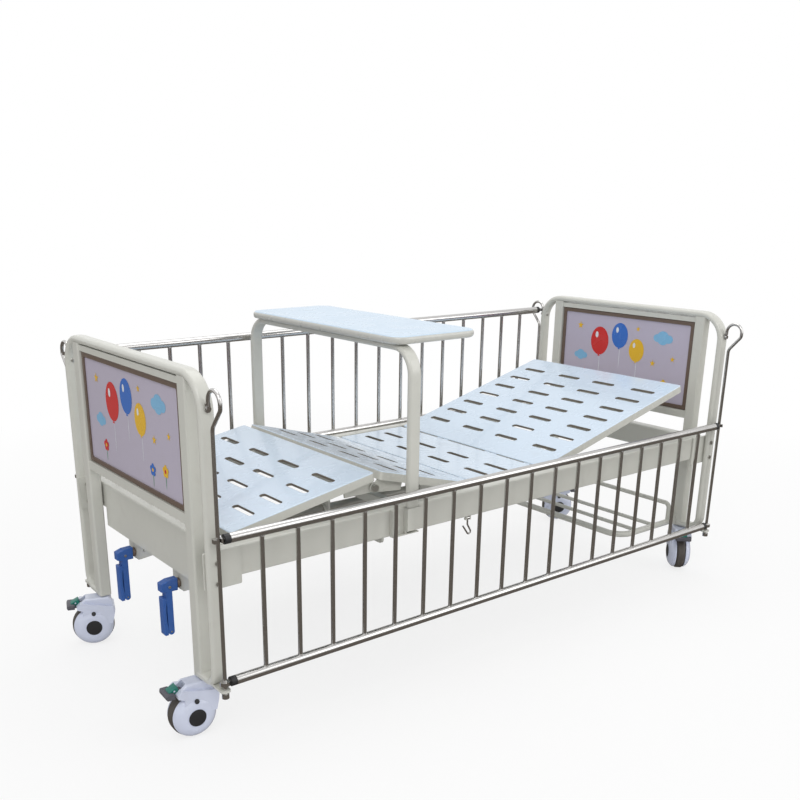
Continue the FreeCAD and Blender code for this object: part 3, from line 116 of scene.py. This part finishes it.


# the top-face argument is (normal x, normal z, height along that normal, colour); the colour above that
# height is painted sky light, the bluish cast of light from above on an upward face
def makeMaterial(name, base, rough, metallic=0.0, scale=(60.0, 60.0, 60.0), mottle=0.06, bump=0.05,
                 dirt=0.08, grime=(0.35, 0.31, 0.26), coat=0.0, attribute=None, paintedSkyLitTop=None):
    material = bpy.data.materials.new(name)
    material.use_nodes = True
    tree = material.node_tree
    tree.nodes.clear()
    place = addNode(tree, "ShaderNodeTexCoord")
    stretch = addNode(tree, "ShaderNodeMapping", {"Vector": place.outputs["Object"]},
                      in_Scale=tuple(s / max(scale) for s in scale))
    grain = addNode(tree, "ShaderNodeGroup", node_tree=grainGroup)
    tree.links.new(stretch.outputs[0], grain.inputs["Vector"])
    grain.inputs["Scale"].default_value = max(scale)
    grain.inputs["Mottle"].default_value = mottle
    grain.inputs["Rough low"].default_value = rough[0]
    grain.inputs["Rough high"].default_value = rough[1]
    grain.inputs["Bump"].default_value = bump
    grain.inputs["Dirt"].default_value = dirt
    tint = addNode(tree, "ShaderNodeMix", data_type="RGBA", blend_type="MULTIPLY")
    tint.inputs[mixFactor].default_value = 1.0
    if attribute:
        source = addNode(tree, "ShaderNodeAttribute", attribute_name=attribute)
        tree.links.new(source.outputs["Color"], tint.inputs[mixFirst])
    elif paintedSkyLitTop:
        # painted light: the part above the height takes the bluish sky-lit colour in place of the base
        normalX, normalZ, height, colour = paintedSkyLitTop
        along = addNode(tree, "ShaderNodeVectorMath", {0: place.outputs["Object"]}, operation="DOT_PRODUCT")
        along.inputs[1].default_value = (normalX, 0.0, normalZ)
        above = addNode(tree, "ShaderNodeMapRange", {"Value": along.outputs["Value"]},
                        in_From_Min=height - paintedSkyLitFade[0], in_From_Max=height - paintedSkyLitFade[1])
        both = addNode(tree, "ShaderNodeMix", data_type="RGBA")
        tree.links.new(above.outputs[0], both.inputs[mixFactor])
        both.inputs[mixFirst].default_value = (*base, 1.0)
        both.inputs[mixSecond].default_value = (*colour, 1.0)
        tree.links.new(both.outputs[mixColour], tint.inputs[mixFirst])
    else:
        tint.inputs[mixFirst].default_value = (*base, 1.0)
    tree.links.new(grain.outputs["Shade"], tint.inputs[mixSecond])
    dirty = addNode(tree, "ShaderNodeMix", data_type="RGBA")
    tree.links.new(grain.outputs["Grime"], dirty.inputs[mixFactor])
    tree.links.new(tint.outputs[mixColour], dirty.inputs[mixFirst])
    dirty.inputs[mixSecond].default_value = (*grime, 1.0)
    shader = addNode(tree, "ShaderNodeBsdfPrincipled", in_Metallic=metallic)
    shader.inputs["Coat Weight"].default_value = coat
    tree.links.new(dirty.outputs[mixColour], shader.inputs["Base Color"])
    tree.links.new(grain.outputs["Roughness"], shader.inputs["Roughness"])
    tree.links.new(grain.outputs["Normal"], shader.inputs["Normal"])
    end = addNode(tree, "ShaderNodeOutputMaterial")
    tree.links.new(shader.outputs[0], end.inputs["Surface"])
    return material


# the deck's paint colour is painted sky light on the sections' top faces: the cream coat turned bluish
# where light from above falls; coat is the real cream
deck = {"top": 0.516, "hingeZ": 0.511, "backX": 0.195, "thighX": -0.090, "kneeX": -0.461, "kneeZ": 0.466,
        "backTilt": -15.0, "thighTilt": 15.0, "calfTilt": -10.0,
        "coat": (0.60, 0.60, 0.55), "paint": (0.60, 0.71, 0.83)}
# the table's paint colour is painted sky light on its top face, a bluish cast over the moulding's edge
# colour
table = {"top": 0.974, "edge": (0.55, 0.55, 0.51), "paint": (0.50, 0.63, 0.76)}


def turnAbout(x, z, degrees):
    middle = Matrix.Translation((x, 0.0, z))
    return middle @ Matrix.Rotation(math.radians(degrees), 4, "Y") @ middle.inverted()


# where each deck section, drawn flat, lies at rest
kneeFlat = Vector((deck["kneeX"], 0.0, deck["kneeZ"]))
thighPlace = turnAbout(deck["thighX"], deck["hingeZ"], deck["thighTilt"])
calfPlace = (Matrix.Translation(thighPlace @ kneeFlat - kneeFlat)
             @ turnAbout(deck["kneeX"], deck["kneeZ"], deck["calfTilt"]))
deckPlace = {"seat": Matrix.Identity(4), "thigh": thighPlace, "calf": calfPlace,
             "back": turnAbout(deck["backX"], deck["hingeZ"], deck["backTilt"])}


# each deck section's material: the cream coat, with painted sky light on its top face
def deckSkyLitPaint(section):
    place = deckPlace[section]
    normal = place.to_3x3() @ Vector((0.0, 0.0, 1.0))
    height = normal.dot(place @ Vector((0.0, 0.0, deck["top"])))
    return makeMaterial(section + "Paint", deck["coat"], (0.22, 0.30), coat=0.3, bump=0.02, mottle=0.05,
                        paintedSkyLitTop=(normal.x, normal.z, height, deck["paint"]))


materials = {
    "cream": makeMaterial("creamCoat", (0.60, 0.60, 0.55), (0.28, 0.40), coat=0.2, bump=0.08),
    "steel": makeMaterial("stainlessTube", (0.60, 0.59, 0.58), (0.13, 0.22), metallic=1.0,
                          scale=(30.0, 240.0, 240.0), mottle=0.12, bump=0.02),
    "steelUp": makeMaterial("stainlessUpright", (0.58, 0.57, 0.56), (0.14, 0.24), metallic=1.0,
                            scale=(240.0, 240.0, 30.0), mottle=0.12, bump=0.02),
    "zinc": makeMaterial("zincPlate", (0.52, 0.51, 0.48), (0.28, 0.4), metallic=1.0, mottle=0.15),
    "black": makeMaterial("blackRubber", (0.02, 0.02, 0.022), (0.5, 0.65), mottle=0.2, bump=0.1),
    "panel": makeMaterial("panelSheet", (0.50, 0.46, 0.56), (0.18, 0.26), coat=0.3, bump=0.02,
                          mottle=0.04),
    "trim": makeMaterial("trimBrown", (0.15, 0.105, 0.08), (0.35, 0.5), mottle=0.2),
    "blue": makeMaterial("crankBlue", (0.032, 0.115, 0.40), (0.3, 0.42), mottle=0.1, bump=0.06),
    # tableMoulding: painted sky light on the top face, the edge colour elsewhere
    "table": makeMaterial("tableMoulding", table["edge"], (0.25, 0.35), coat=0.2, mottle=0.04, bump=0.02,
                          paintedSkyLitTop=(0.0, 1.0, table["top"], table["paint"])),
    "shell": makeMaterial("casterShell", (0.66, 0.70, 0.84), (0.16, 0.25), coat=0.3, mottle=0.04),
    "tyre": makeMaterial("casterTyre", (0.085, 0.075, 0.065), (0.55, 0.7), mottle=0.2, bump=0.12),
    "teal": makeMaterial("pedalTeal", (0.0, 0.17, 0.13), (0.3, 0.42), mottle=0.1),
    "grey": makeMaterial("pedalGrey", (0.10, 0.10, 0.12), (0.4, 0.55), mottle=0.15),
    # dark taupe slot walls: painted shade inside the deck's slots; the grain adds random dirt spots on top
    "slotWallPaintedShade": makeMaterial("slotWallPaintedShade", (0.26, 0.23, 0.19), (0.5, 0.65), mottle=0.3, dirt=0.3),
    "paint": makeMaterial("boardPaint", (0.5, 0.5, 0.5), (0.2, 0.3), coat=0.3, mottle=0.08, dirt=0.03,
                          attribute="paint"),
}
for section in deckPlace:
    materials[section] = deckSkyLitPaint(section)

slotLook = {
    "cream_steel": "cream", "deck_steel": "cream", "bare_steel": "steelUp", "plated_steel": "zinc",
    "black_plastic": "black", "panel_plastic": "panel", "trim_plastic": "trim",
    "table_plastic": "table", "crank_plastic": "blue", "caster_plastic": "shell",
    "tyre_rubber": "tyre", "pedal_plastic": "grey",
}
slotOf = {item["node"]: item["material_slot"] for item in frame["record"]["subparts"]}
for name, node in cad.items():
    look = slotLook[slotOf[name]]
    if name.endswith("_section"):
        look = name.split("_")[0]
    node.data.materials.clear()
    node.data.materials.append(materials[look])
print("stage: materials")

mergeDistance = 0.00001
tiny = 0.000001


def addPiece(name, bm, body, look, smooth=True):
    bmesh.ops.remove_doubles(bm, verts=bm.verts, dist=mergeDistance)
    mesh = bpy.data.meshes.new(name)
    bm.to_mesh(mesh)
    bm.free()
    for face in mesh.polygons:
        face.use_smooth = smooth
    piece = bpy.data.objects.new(name, mesh)
    bpy.context.scene.collection.objects.link(piece)
    mesh.materials.append(materials[look])
    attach(piece, body)
    return piece


# a short round pad along local Z from 0, with a rounded outer rim
def addPad(bm, place, radius, height, rim, segments=32):
    lift = Matrix.Translation((0.0, 0.0, height / 2.0))
    verts = bmesh.ops.create_cone(bm, cap_ends=True, segments=segments, radius1=radius, radius2=radius,
                                  depth=height, matrix=lift)["verts"]
    top = [e for e in bm.edges if e.verts[0] in verts and e.verts[1] in verts
           and min(v.co.z for v in e.verts) > height - tiny]
    bevelled = bmesh.ops.bevel(bm, geom=top, offset=rim, offset_type="OFFSET", segments=3, profile=0.5,
                               affect="EDGES", material=-1)
    touched = set(v for v in verts if v.is_valid) | set(bevelled["verts"])
    bmesh.ops.transform(bm, matrix=place, verts=list(touched))


# a rounded block between two corners
def addBlock(bm, low, high, rim, place):
    size = Vector(high) - Vector(low)
    middle = (Vector(high) + Vector(low)) / 2.0
    verts = bmesh.ops.create_cube(bm, size=1.0, matrix=Matrix.Translation(middle)
                                  @ Matrix.Diagonal((*size, 1.0)))["verts"]
    edges = list({e for v in verts for e in v.link_edges})
    rounded = bmesh.ops.bevel(bm, geom=edges, offset=rim, offset_type="OFFSET", segments=4, profile=0.5,
                              affect="EDGES", material=-1)
    touched = set(v for v in verts if v.is_valid) | set(rounded["verts"])
    bmesh.ops.transform(bm, matrix=place, verts=list(touched))


# turns local Z to the left or right side, and up from there by the tilt
def faceSide(side, tilt=0.0):
    return Matrix.Rotation(math.radians(-side * (90.0 - tilt)), 4, "X")


# each section's rows are first x, pitch and number
slotRim = {"halfWidth": 0.0099, "halfLength": 0.0399, "depth": 0.007, "wall": 0.0006, "drop": 0.0004,
           "rowsY": (-0.258, -0.082, 0.082, 0.258),
           "rows": {"seat": (-0.003, 0.085, 2), "thigh": (-0.222, -0.075, 3),
                    "calf": (-0.570, -0.085, 4), "back": (0.307, 0.0845, 7)}}


# turned-down rims inside the deck slots, coloured dark as painted shade in the slots
def makeSlotRims(section, body):
    bm = bmesh.new()
    first, pitch, number = slotRim["rows"][section]
    top = deck["top"] - slotRim["drop"]
    for i in range(number):
        for y in slotRim["rowsY"]:
            ring = bmesh.ops.create_circle(bm, cap_ends=False, segments=28,
                                           radius=slotRim["halfWidth"])["verts"]
            for side in (-1, 1):
                half = [v for v in ring if v.co.y * side > tiny]
                bmesh.ops.translate(bm, verts=half, vec=(0.0, side * slotRim["halfLength"], 0.0))
            bmesh.ops.translate(bm, verts=ring, vec=(first + pitch * i, y, top))
            edges = list({e for v in ring for e in v.link_edges})
            wall = bmesh.ops.extrude_edge_only(bm, edges=edges)["geom"]
            low = [g for g in wall if isinstance(g, bmesh.types.BMVert)]
            bmesh.ops.translate(bm, verts=low, vec=(0.0, 0.0, -slotRim["depth"]))
    bmesh.ops.recalc_face_normals(bm, faces=bm.faces)
    bmesh.ops.solidify(bm, geom=bm.faces[:], thickness=slotRim["wall"])
    bmesh.ops.transform(bm, matrix=deckPlace[section], verts=bm.verts)
    addPiece("slotRimsPaintedShade" + section.capitalize(), bm, body, "slotWallPaintedShade", smooth=False)


for section, body in (("seat", "frame"), ("thigh", "thigh"), ("calf", "calf"), ("back", "back")):
    makeSlotRims(section, body)
print("stage: deck slots")

# places are x, y and the wheel's heading; the rest is measured in the caster's own frame
caster = {"places": {"foot_near": (-1.0, -0.327, 176.0), "foot_far": (-1.0, 0.327, 161.0),
                     "head_near": (1.0, -0.327, 226.6), "head_far": (1.0, 0.327, -32.0)},
          "hub": (0.038, 0.0625), "hubRadius": 0.0236, "hubHeight": 0.0012, "hubRim": 0.0008,
          "crown": 0.0388, "plug": (0.036, 0.107), "plugRadius": 0.0065, "plugHeight": 0.0022,
          "plugRim": 0.0009, "plugSide": 0.0349, "plugTilt": 20.0}
pedal = {"wedge": ((0.0712, 0.1322), (0.0776, 0.1516), (0.1008, 0.1396), (0.1008, 0.1322)),
         "wedgeHalf": 0.0136, "wedgeRim": 0.0014, "padLow": (0.0884, -0.0274, 0.1246),
         "padHigh": (0.1124, 0.0274, 0.1384), "padRim": 0.0058, "dot": (0.086, 0.1406),
         "dotRadius": 0.0024, "dotHeight": 0.0006, "dotRim": 0.0003}


def makeCasterTrim(corner):
    x, y, heading = caster["places"][corner]
    place = Matrix.Translation((x, y, 0.0)) @ Matrix.Rotation(math.radians(heading), 4, "Z")
    bm = bmesh.new()
    hubU, hubZ = caster["hub"]
    plugU, plugZ = caster["plug"]
    for side in (-1, 1):
        addPad(bm, place @ Matrix.Translation((hubU, side * caster["crown"], hubZ)) @ faceSide(side),
               caster["hubRadius"], caster["hubHeight"], caster["hubRim"], segments=40)
        addPad(bm, place @ Matrix.Translation((plugU, side * caster["plugSide"], plugZ))
               @ faceSide(side, caster["plugTilt"]),
               caster["plugRadius"], caster["plugHeight"], caster["plugRim"], segments=24)
    addPiece("casterDiscs_" + corner, bm, "caster_" + corner, "black")

    bm = bmesh.new()
    outline = [bm.verts.new((u, -pedal["wedgeHalf"], z)) for u, z in pedal["wedge"]]
    face = bm.faces.new(outline)
    grown = bmesh.ops.extrude_face_region(bm, geom=[face])["geom"]
    bmesh.ops.translate(bm, verts=[g for g in grown if isinstance(g, bmesh.types.BMVert)],
                        vec=(0.0, 2.0 * pedal["wedgeHalf"], 0.0))
    bmesh.ops.recalc_face_normals(bm, faces=bm.faces)
    bmesh.ops.bevel(bm, geom=bm.edges[:], offset=pedal["wedgeRim"], offset_type="OFFSET", segments=3,
                    profile=0.5, affect="EDGES", material=-1)
    bmesh.ops.transform(bm, matrix=place, verts=bm.verts)
    addPiece("pedalWedge_" + corner, bm, "pedal_" + corner, "teal")

    bm = bmesh.new()
    addBlock(bm, pedal["padLow"], pedal["padHigh"], pedal["padRim"], place)
    addPiece("pedalPad_" + corner, bm, "pedal_" + corner, "grey")

    bm = bmesh.new()
    dotU, dotZ = pedal["dot"]
    for side in (-1, 1):
        addPad(bm, place @ Matrix.Translation((dotU, side * pedal["wedgeHalf"], dotZ)) @ faceSide(side),
               pedal["dotRadius"], pedal["dotHeight"], pedal["dotRim"], segments=16)
    addPiece("pedalDot_" + corner, bm, "pedal_" + corner, "shell")


for corner in caster["places"]:
    makeCasterTrim(corner)
print("stage: casters")

# screws are x, z and radius
crank = {"y": {"back": 0.143, "knee": -0.143}, "half": 0.013,
         "screws": ((-0.999, 0.341, 0.0040), (-1.0015, 0.213, 0.0026)),
         "screwHeight": 0.0011, "screwRim": 0.0006, "collarX": (-0.9745, -0.9662),
         "shaftZ": 0.344, "collarRadius": 0.0135, "collarRim": 0.0012}


def makeCrankTrim(name, y):
    bm = bmesh.new()
    for side in (-1, 1):
        for x, z, radius in crank["screws"]:
            addPad(bm, Matrix.Translation((x, y + side * crank["half"], z)) @ faceSide(side), radius,
                   crank["screwHeight"], crank["screwRim"], segments=20)
    addPiece(name + "CrankScrews", bm, name + "_crank", "zinc")
    bm = bmesh.new()
    x0, x1 = crank["collarX"]
    along = Matrix.Translation((x0, y, crank["shaftZ"])) @ Matrix.Rotation(math.radians(90.0), 4, "Y")
    addPad(bm, along, crank["collarRadius"], x1 - x0, crank["collarRim"])
    addPiece(name + "CrankCollar", bm, name + "_crank", "trim")


for name, y in crank["y"].items():
    makeCrankTrim(name, y)
print("stage: cranks")

# near and far are the heights of each rail's lower and upper tube
rail = {"y": 0.442, "near": (0.183, 0.557), "far": (0.508, 0.882), "tube": 0.0125, "bars": 18,
        "pitch": 0.103706, "beadRing": 0.0062, "bead": 0.0011}


# weld beads where the bars meet the rail's tubes
def makeWelds(side, y, heights):
    bm = bmesh.new()
    for i in range(rail["bars"]):
        x = (i - (rail["bars"] - 1) / 2.0) * rail["pitch"]
        for z in (heights[0] + rail["tube"], heights[1] - rail["tube"]):
            ring = bmesh.ops.create_circle(bm, cap_ends=False, segments=6, radius=rail["bead"],
                                           matrix=Matrix.Translation((x + rail["beadRing"], y, z))
                                           @ Matrix.Rotation(math.radians(90.0), 4, "X"))["verts"]
            edges = list({e for v in ring for e in v.link_edges})
            bmesh.ops.spin(bm, geom=ring + edges, cent=(x, y, z), axis=(0.0, 0.0, 1.0), steps=14,
                           angle=math.tau, use_merge=True)
    bmesh.ops.recalc_face_normals(bm, faces=bm.faces)
    addPiece(side + "RailWelds", bm, side + "_rail", "steel")


makeWelds("near", -rail["y"], rail["near"])
makeWelds("far", rail["y"], rail["far"])
print("stage: rail welds")

board = {"x": 1.0, "capZ": 0.867, "capY": 0.402, "capRadius": 0.0062, "capHeight": 0.0034,
         "capRim": 0.0022}


# caps on the ends of the guide rods' bolts
def makeBoltCaps():
    bm = bmesh.new()
    for end in (-1, 1):
        for side in (-1, 1):
            place = Matrix.Translation((end * board["x"], side * board["capY"], board["capZ"]))
            addPad(bm, place @ faceSide(-side), board["capRadius"], board["capHeight"], board["capRim"],
                   segments=24)
    addPiece("rodBoltCaps", bm, "frame", "zinc")


makeBoltCaps()

# Painted motifs on the boards; s runs to the viewer's right, t upwards, both from the panel's middle.
# Each entry begins with s and t. Then come a balloon's radius and colour, a cloud's size, a star's radius
# and a flower's colour.
art = {"faceX": 0.006, "midZ": 0.748, "lift": 0.00025, "layer": 0.00012,
       "red": (0.62, 0.03, 0.03), "blue": (0.04, 0.16, 0.55), "yellow": (0.80, 0.48, 0.03),
       "white": (0.75, 0.78, 0.82), "green": (0.05, 0.30, 0.12), "sky": (0.22, 0.48, 0.72),
       "balloons": ((-0.115, 0.045, 0.050, "red"), (-0.020, 0.075, 0.044, "blue"),
                    (0.062, 0.028, 0.040, "yellow")),
       "clouds": ((0.175, 0.085, 0.9), (-0.205, -0.020, 0.7)),
       "stars": ((-0.215, 0.095, 0.015), (0.140, -0.010, 0.013), (0.225, 0.015, 0.011),
                 (0.062, 0.108, 0.010)),
       "flowers": ((-0.180, -0.088, "red"), (0.120, -0.092, "blue"), (0.195, -0.080, "yellow"))}
# shares of a balloon's radius: half width and half height, and for knot, string and shine where they sit
balloonForm = {"wide": 0.86, "tall": 1.08, "knotDrop": 1.12, "knotWide": 0.16, "knotTall": 0.12,
               "stringDrop": 1.9, "stringTall": 0.9, "shineLeft": 0.3, "shineUp": 0.45,
               "shineWide": 0.14, "shineTall": 0.24}
string = {"aside": 0.004, "halfWidth": 0.0012}
# puffs are s, t and radius for a cloud of size 1
cloudForm = {"puffs": ((-0.026, 0.0, 0.016), (0.0, 0.008, 0.022), (0.027, 0.0, 0.017),
                       (0.0, -0.006, 0.020)), "stretch": 1.25}
starForm = {"corners": 10, "notch": 0.42, "depth": 4}
flowerForm = {"stemDrop": 0.026, "stemWide": 0.0016, "stemTall": 0.020, "petals": 5, "petalOut": 0.010,
              "petal": 0.0075, "heart": 0.005, "heartDepth": 7}


# depth is the number of paint layers under the disc
def paintDisc(bm, layer, colour, s, t, wide, tall, depth, segments=28):
    disc = bmesh.ops.create_circle(bm, cap_ends=True, segments=segments, radius=1.0,
                                   matrix=Matrix.Translation((s, t, depth * art["layer"]))
                                   @ Matrix.Diagonal((wide, tall, 1.0, 1.0)))["verts"]
    for face in {f for v in disc for f in v.link_faces}:
        for loop in face.loops:
            loop[layer] = (*colour, 1.0)
    return disc


def paintBalloon(bm, layer, s, t, radius, colour):
    form = balloonForm
    paintDisc(bm, layer, art["white"], s + string["aside"], t - radius * form["stringDrop"],
              string["halfWidth"], radius * form["stringTall"], 0, 12)
    paintDisc(bm, layer, colour, s, t - radius * form["knotDrop"], radius * form["knotWide"],
              radius * form["knotTall"], 1, 3)
    paintDisc(bm, layer, colour, s, t, radius * form["wide"], radius * form["tall"], 2)
    paintDisc(bm, layer, art["white"], s - radius * form["shineLeft"], t + radius * form["shineUp"],
              radius * form["shineWide"], radius * form["shineTall"], 3, 16)


def paintCloud(bm, layer, s, t, size):
    for k, (ds, dt, radius) in enumerate(cloudForm["puffs"]):
        paintDisc(bm, layer, art["sky"], s + ds * size, t + dt * size,
                  radius * size * cloudForm["stretch"], radius * size, k)


def paintStar(bm, layer, s, t, size):
    star = paintDisc(bm, layer, art["yellow"], s, t, size, size, starForm["depth"],
                     segments=starForm["corners"])
    for vert in star[1::2]:
        vert.co.x = s + (vert.co.x - s) * starForm["notch"]
        vert.co.y = t + (vert.co.y - t) * starForm["notch"]


def paintFlower(bm, layer, s, t, colour):
    paintDisc(bm, layer, art["green"], s, t - flowerForm["stemDrop"], flowerForm["stemWide"],
              flowerForm["stemTall"], 0, 12)
    for k in range(flowerForm["petals"]):
        angle = math.radians(90.0 + 360.0 / flowerForm["petals"] * k)
        paintDisc(bm, layer, art[colour], s + flowerForm["petalOut"] * math.cos(angle),
                  t + flowerForm["petalOut"] * math.sin(angle), flowerForm["petal"],
                  flowerForm["petal"], 1 + k, 16)
    heart = art["red"] if colour == "yellow" else art["yellow"]
    paintDisc(bm, layer, heart, s, t, flowerForm["heart"], flowerForm["heart"],
              flowerForm["heartDepth"], 16)


# facing is the sign of x on the side that the picture is seen from
def makeBoardArt(name, faceX, facing):
    bm = bmesh.new()
    layer = bm.loops.layers.float_color.new("paint")
    # local X to the viewer's right, local Y up, local Z out of the panel
    turn = Matrix(((0.0, 0.0, facing), (facing, 0.0, 0.0), (0.0, 1.0, 0.0))).to_4x4()
    place = Matrix.Translation((faceX + facing * art["lift"], 0.0, art["midZ"])) @ turn
    for s, t, radius, colour in art["balloons"]:
        paintBalloon(bm, layer, s, t, radius, art[colour])
    for cloud in art["clouds"]:
        paintCloud(bm, layer, *cloud)
    for star in art["stars"]:
        paintStar(bm, layer, *star)
    for flower in art["flowers"]:
        paintFlower(bm, layer, *flower)
    bmesh.ops.transform(bm, matrix=place, verts=bm.verts)
    bmesh.ops.reverse_faces(bm, faces=[f for f in bm.faces if f.normal.x * facing < 0])
    addPiece(name, bm, "frame", "paint", smooth=False)


makeBoardArt("footBoardPictureOut", -board["x"] - art["faceX"], -1)
makeBoardArt("footBoardPictureIn", -board["x"] + art["faceX"], 1)
makeBoardArt("headBoardPictureOut", board["x"] + art["faceX"], 1)
makeBoardArt("headBoardPictureIn", board["x"] - art["faceX"], -1)
print("stage: boards")

# the floor keeps the shadowShare of its shading up to clearFrom from the middle and loses it by clearTo
studio = {"floorHalf": 40.0, "floorDrop": 0.0005, "floorColour": (0.82, 0.82, 0.82), "clearFrom": 1.6,
          "clearTo": 3.4, "shadowShare": 0.22, "mirroredFloor": (0.18, 0.16, 0.14, 1.0),
          "white": (1.0, 1.0, 1.0, 1.0), "world": 0.62}


# light path mask: 1 where the camera sees the surface, also in a reflection or through glass
def seenMask(tree):
    path = addNode(tree, "ShaderNodeLightPath")
    first = addNode(tree, "ShaderNodeMath",
                    {0: path.outputs["Is Camera Ray"], 1: path.outputs["Is Glossy Ray"]},
                    operation="MAXIMUM")
    return addNode(tree, "ShaderNodeMath", {0: first.outputs[0], 1: path.outputs["Is Transmission Ray"]},
                   operation="MAXIMUM").outputs[0]


def makeFloor():
    mesh = bpy.data.meshes.new("floor")
    bm = bmesh.new()
    bmesh.ops.create_grid(bm, x_segments=1, y_segments=1, size=studio["floorHalf"])
    bm.to_mesh(mesh)
    bm.free()
    floor = bpy.data.objects.new("floor", mesh)
    floor.location.z = -studio["floorDrop"]
    bpy.context.scene.collection.objects.link(floor)
    material = makeMaterial("floorPaint", studio["floorColour"], (0.6, 0.7), mottle=0.01, bump=0.0,
                            dirt=0.0)
    tree = material.node_tree
    surface = next(n for n in tree.nodes if n.type == "BSDF_PRINCIPLED")
    end = next(n for n in tree.nodes if n.type == "OUTPUT_MATERIAL")
    place = addNode(tree, "ShaderNodeTexCoord")
    away = addNode(tree, "ShaderNodeVectorMath", {0: place.outputs["Object"]}, operation="LENGTH")
    near = addNode(tree, "ShaderNodeMapRange", {"Value": away.outputs["Value"]},
                   in_From_Min=studio["clearFrom"], in_From_Max=studio["clearTo"],
                   in_To_Min=1.0 - studio["shadowShare"], in_To_Max=1.0)
    share = addNode(tree, "ShaderNodeMath", {0: seenMask(tree), 1: near.outputs[0]}, operation="MULTIPLY")
    glow = addNode(tree, "ShaderNodeEmission", in_Color=studio["white"], in_Strength=1.0)
    blend = addNode(tree, "ShaderNodeMixShader",
                    {0: share.outputs[0], 1: surface.outputs[0], 2: glow.outputs[0]})
    # polished metal mirrors a darker floor than the one that is lit
    path = addNode(tree, "ShaderNodeLightPath")
    dark = addNode(tree, "ShaderNodeEmission", in_Color=studio["mirroredFloor"], in_Strength=1.0)
    mirrored = addNode(tree, "ShaderNodeMixShader",
                       {0: path.outputs["Is Glossy Ray"], 1: blend.outputs[0], 2: dark.outputs[0]})
    tree.links.new(mirrored.outputs[0], end.inputs["Surface"])
    mesh.materials.append(material)


def addArea(name, place, aim, size, energy):
    light = bpy.data.lights.new(name, "AREA")
    light.shape = "DISK"
    light.size = size
    light.energy = energy
    lamp = bpy.data.objects.new(name, light)
    lamp.location = place
    way = Vector(aim) - Vector(place)
    lamp.rotation_euler = way.to_track_quat("-Z", "Y").to_euler()
    bpy.context.scene.collection.objects.link(lamp)


def makeWorld():
    world = bpy.data.worlds.new("studio")
    bpy.context.scene.world = world
    world.use_nodes = True
    tree = world.node_tree
    back = tree.nodes["Background"]
    back.inputs["Color"].default_value = studio["white"]
    level = addNode(tree, "ShaderNodeMapRange", {"Value": seenMask(tree)},
                    in_To_Min=studio["world"], in_To_Max=1.0)
    tree.links.new(level.outputs[0], back.inputs["Strength"])


makeFloor()
makeWorld()
addArea("keyLight", place=(-3.2, -3.0, 4.6), aim=(0.0, 0.0, 0.5), size=3.2, energy=88.0)
addArea("fillLight", place=(3.5, -4.5, 3.0), aim=(0.2, 0.0, 0.5), size=4.0, energy=75.0)
addArea("topLight", place=(0.5, 1.0, 5.0), aim=(0.0, 0.0, 0.5), size=4.0, energy=80.0)

view = {"place": (-1.969, -2.3025, 1.3166), "heading": -37.23, "down": 18.82, "roll": 0.30,
        "sensor": 36.0, "lens": 42.42, "shift": (0.038, 0.149)}


def makeCamera():
    data = bpy.data.cameras.new("camera")
    data.sensor_width = view["sensor"]
    data.lens = view["lens"]
    data.shift_x, data.shift_y = view["shift"]
    camera = bpy.data.objects.new("camera", data)
    camera.matrix_world = (Matrix.Translation(view["place"])
                           @ Matrix.Rotation(math.radians(view["heading"]), 4, "Z")
                           @ Matrix.Rotation(math.radians(90.0 - view["down"]), 4, "X")
                           @ Matrix.Rotation(math.radians(view["roll"]), 4, "Z"))
    bpy.context.scene.collection.objects.link(camera)
    bpy.context.scene.camera = camera


makeCamera()
bpy.context.scene.view_settings.view_transform = "Standard"
print("stage: studio and camera")
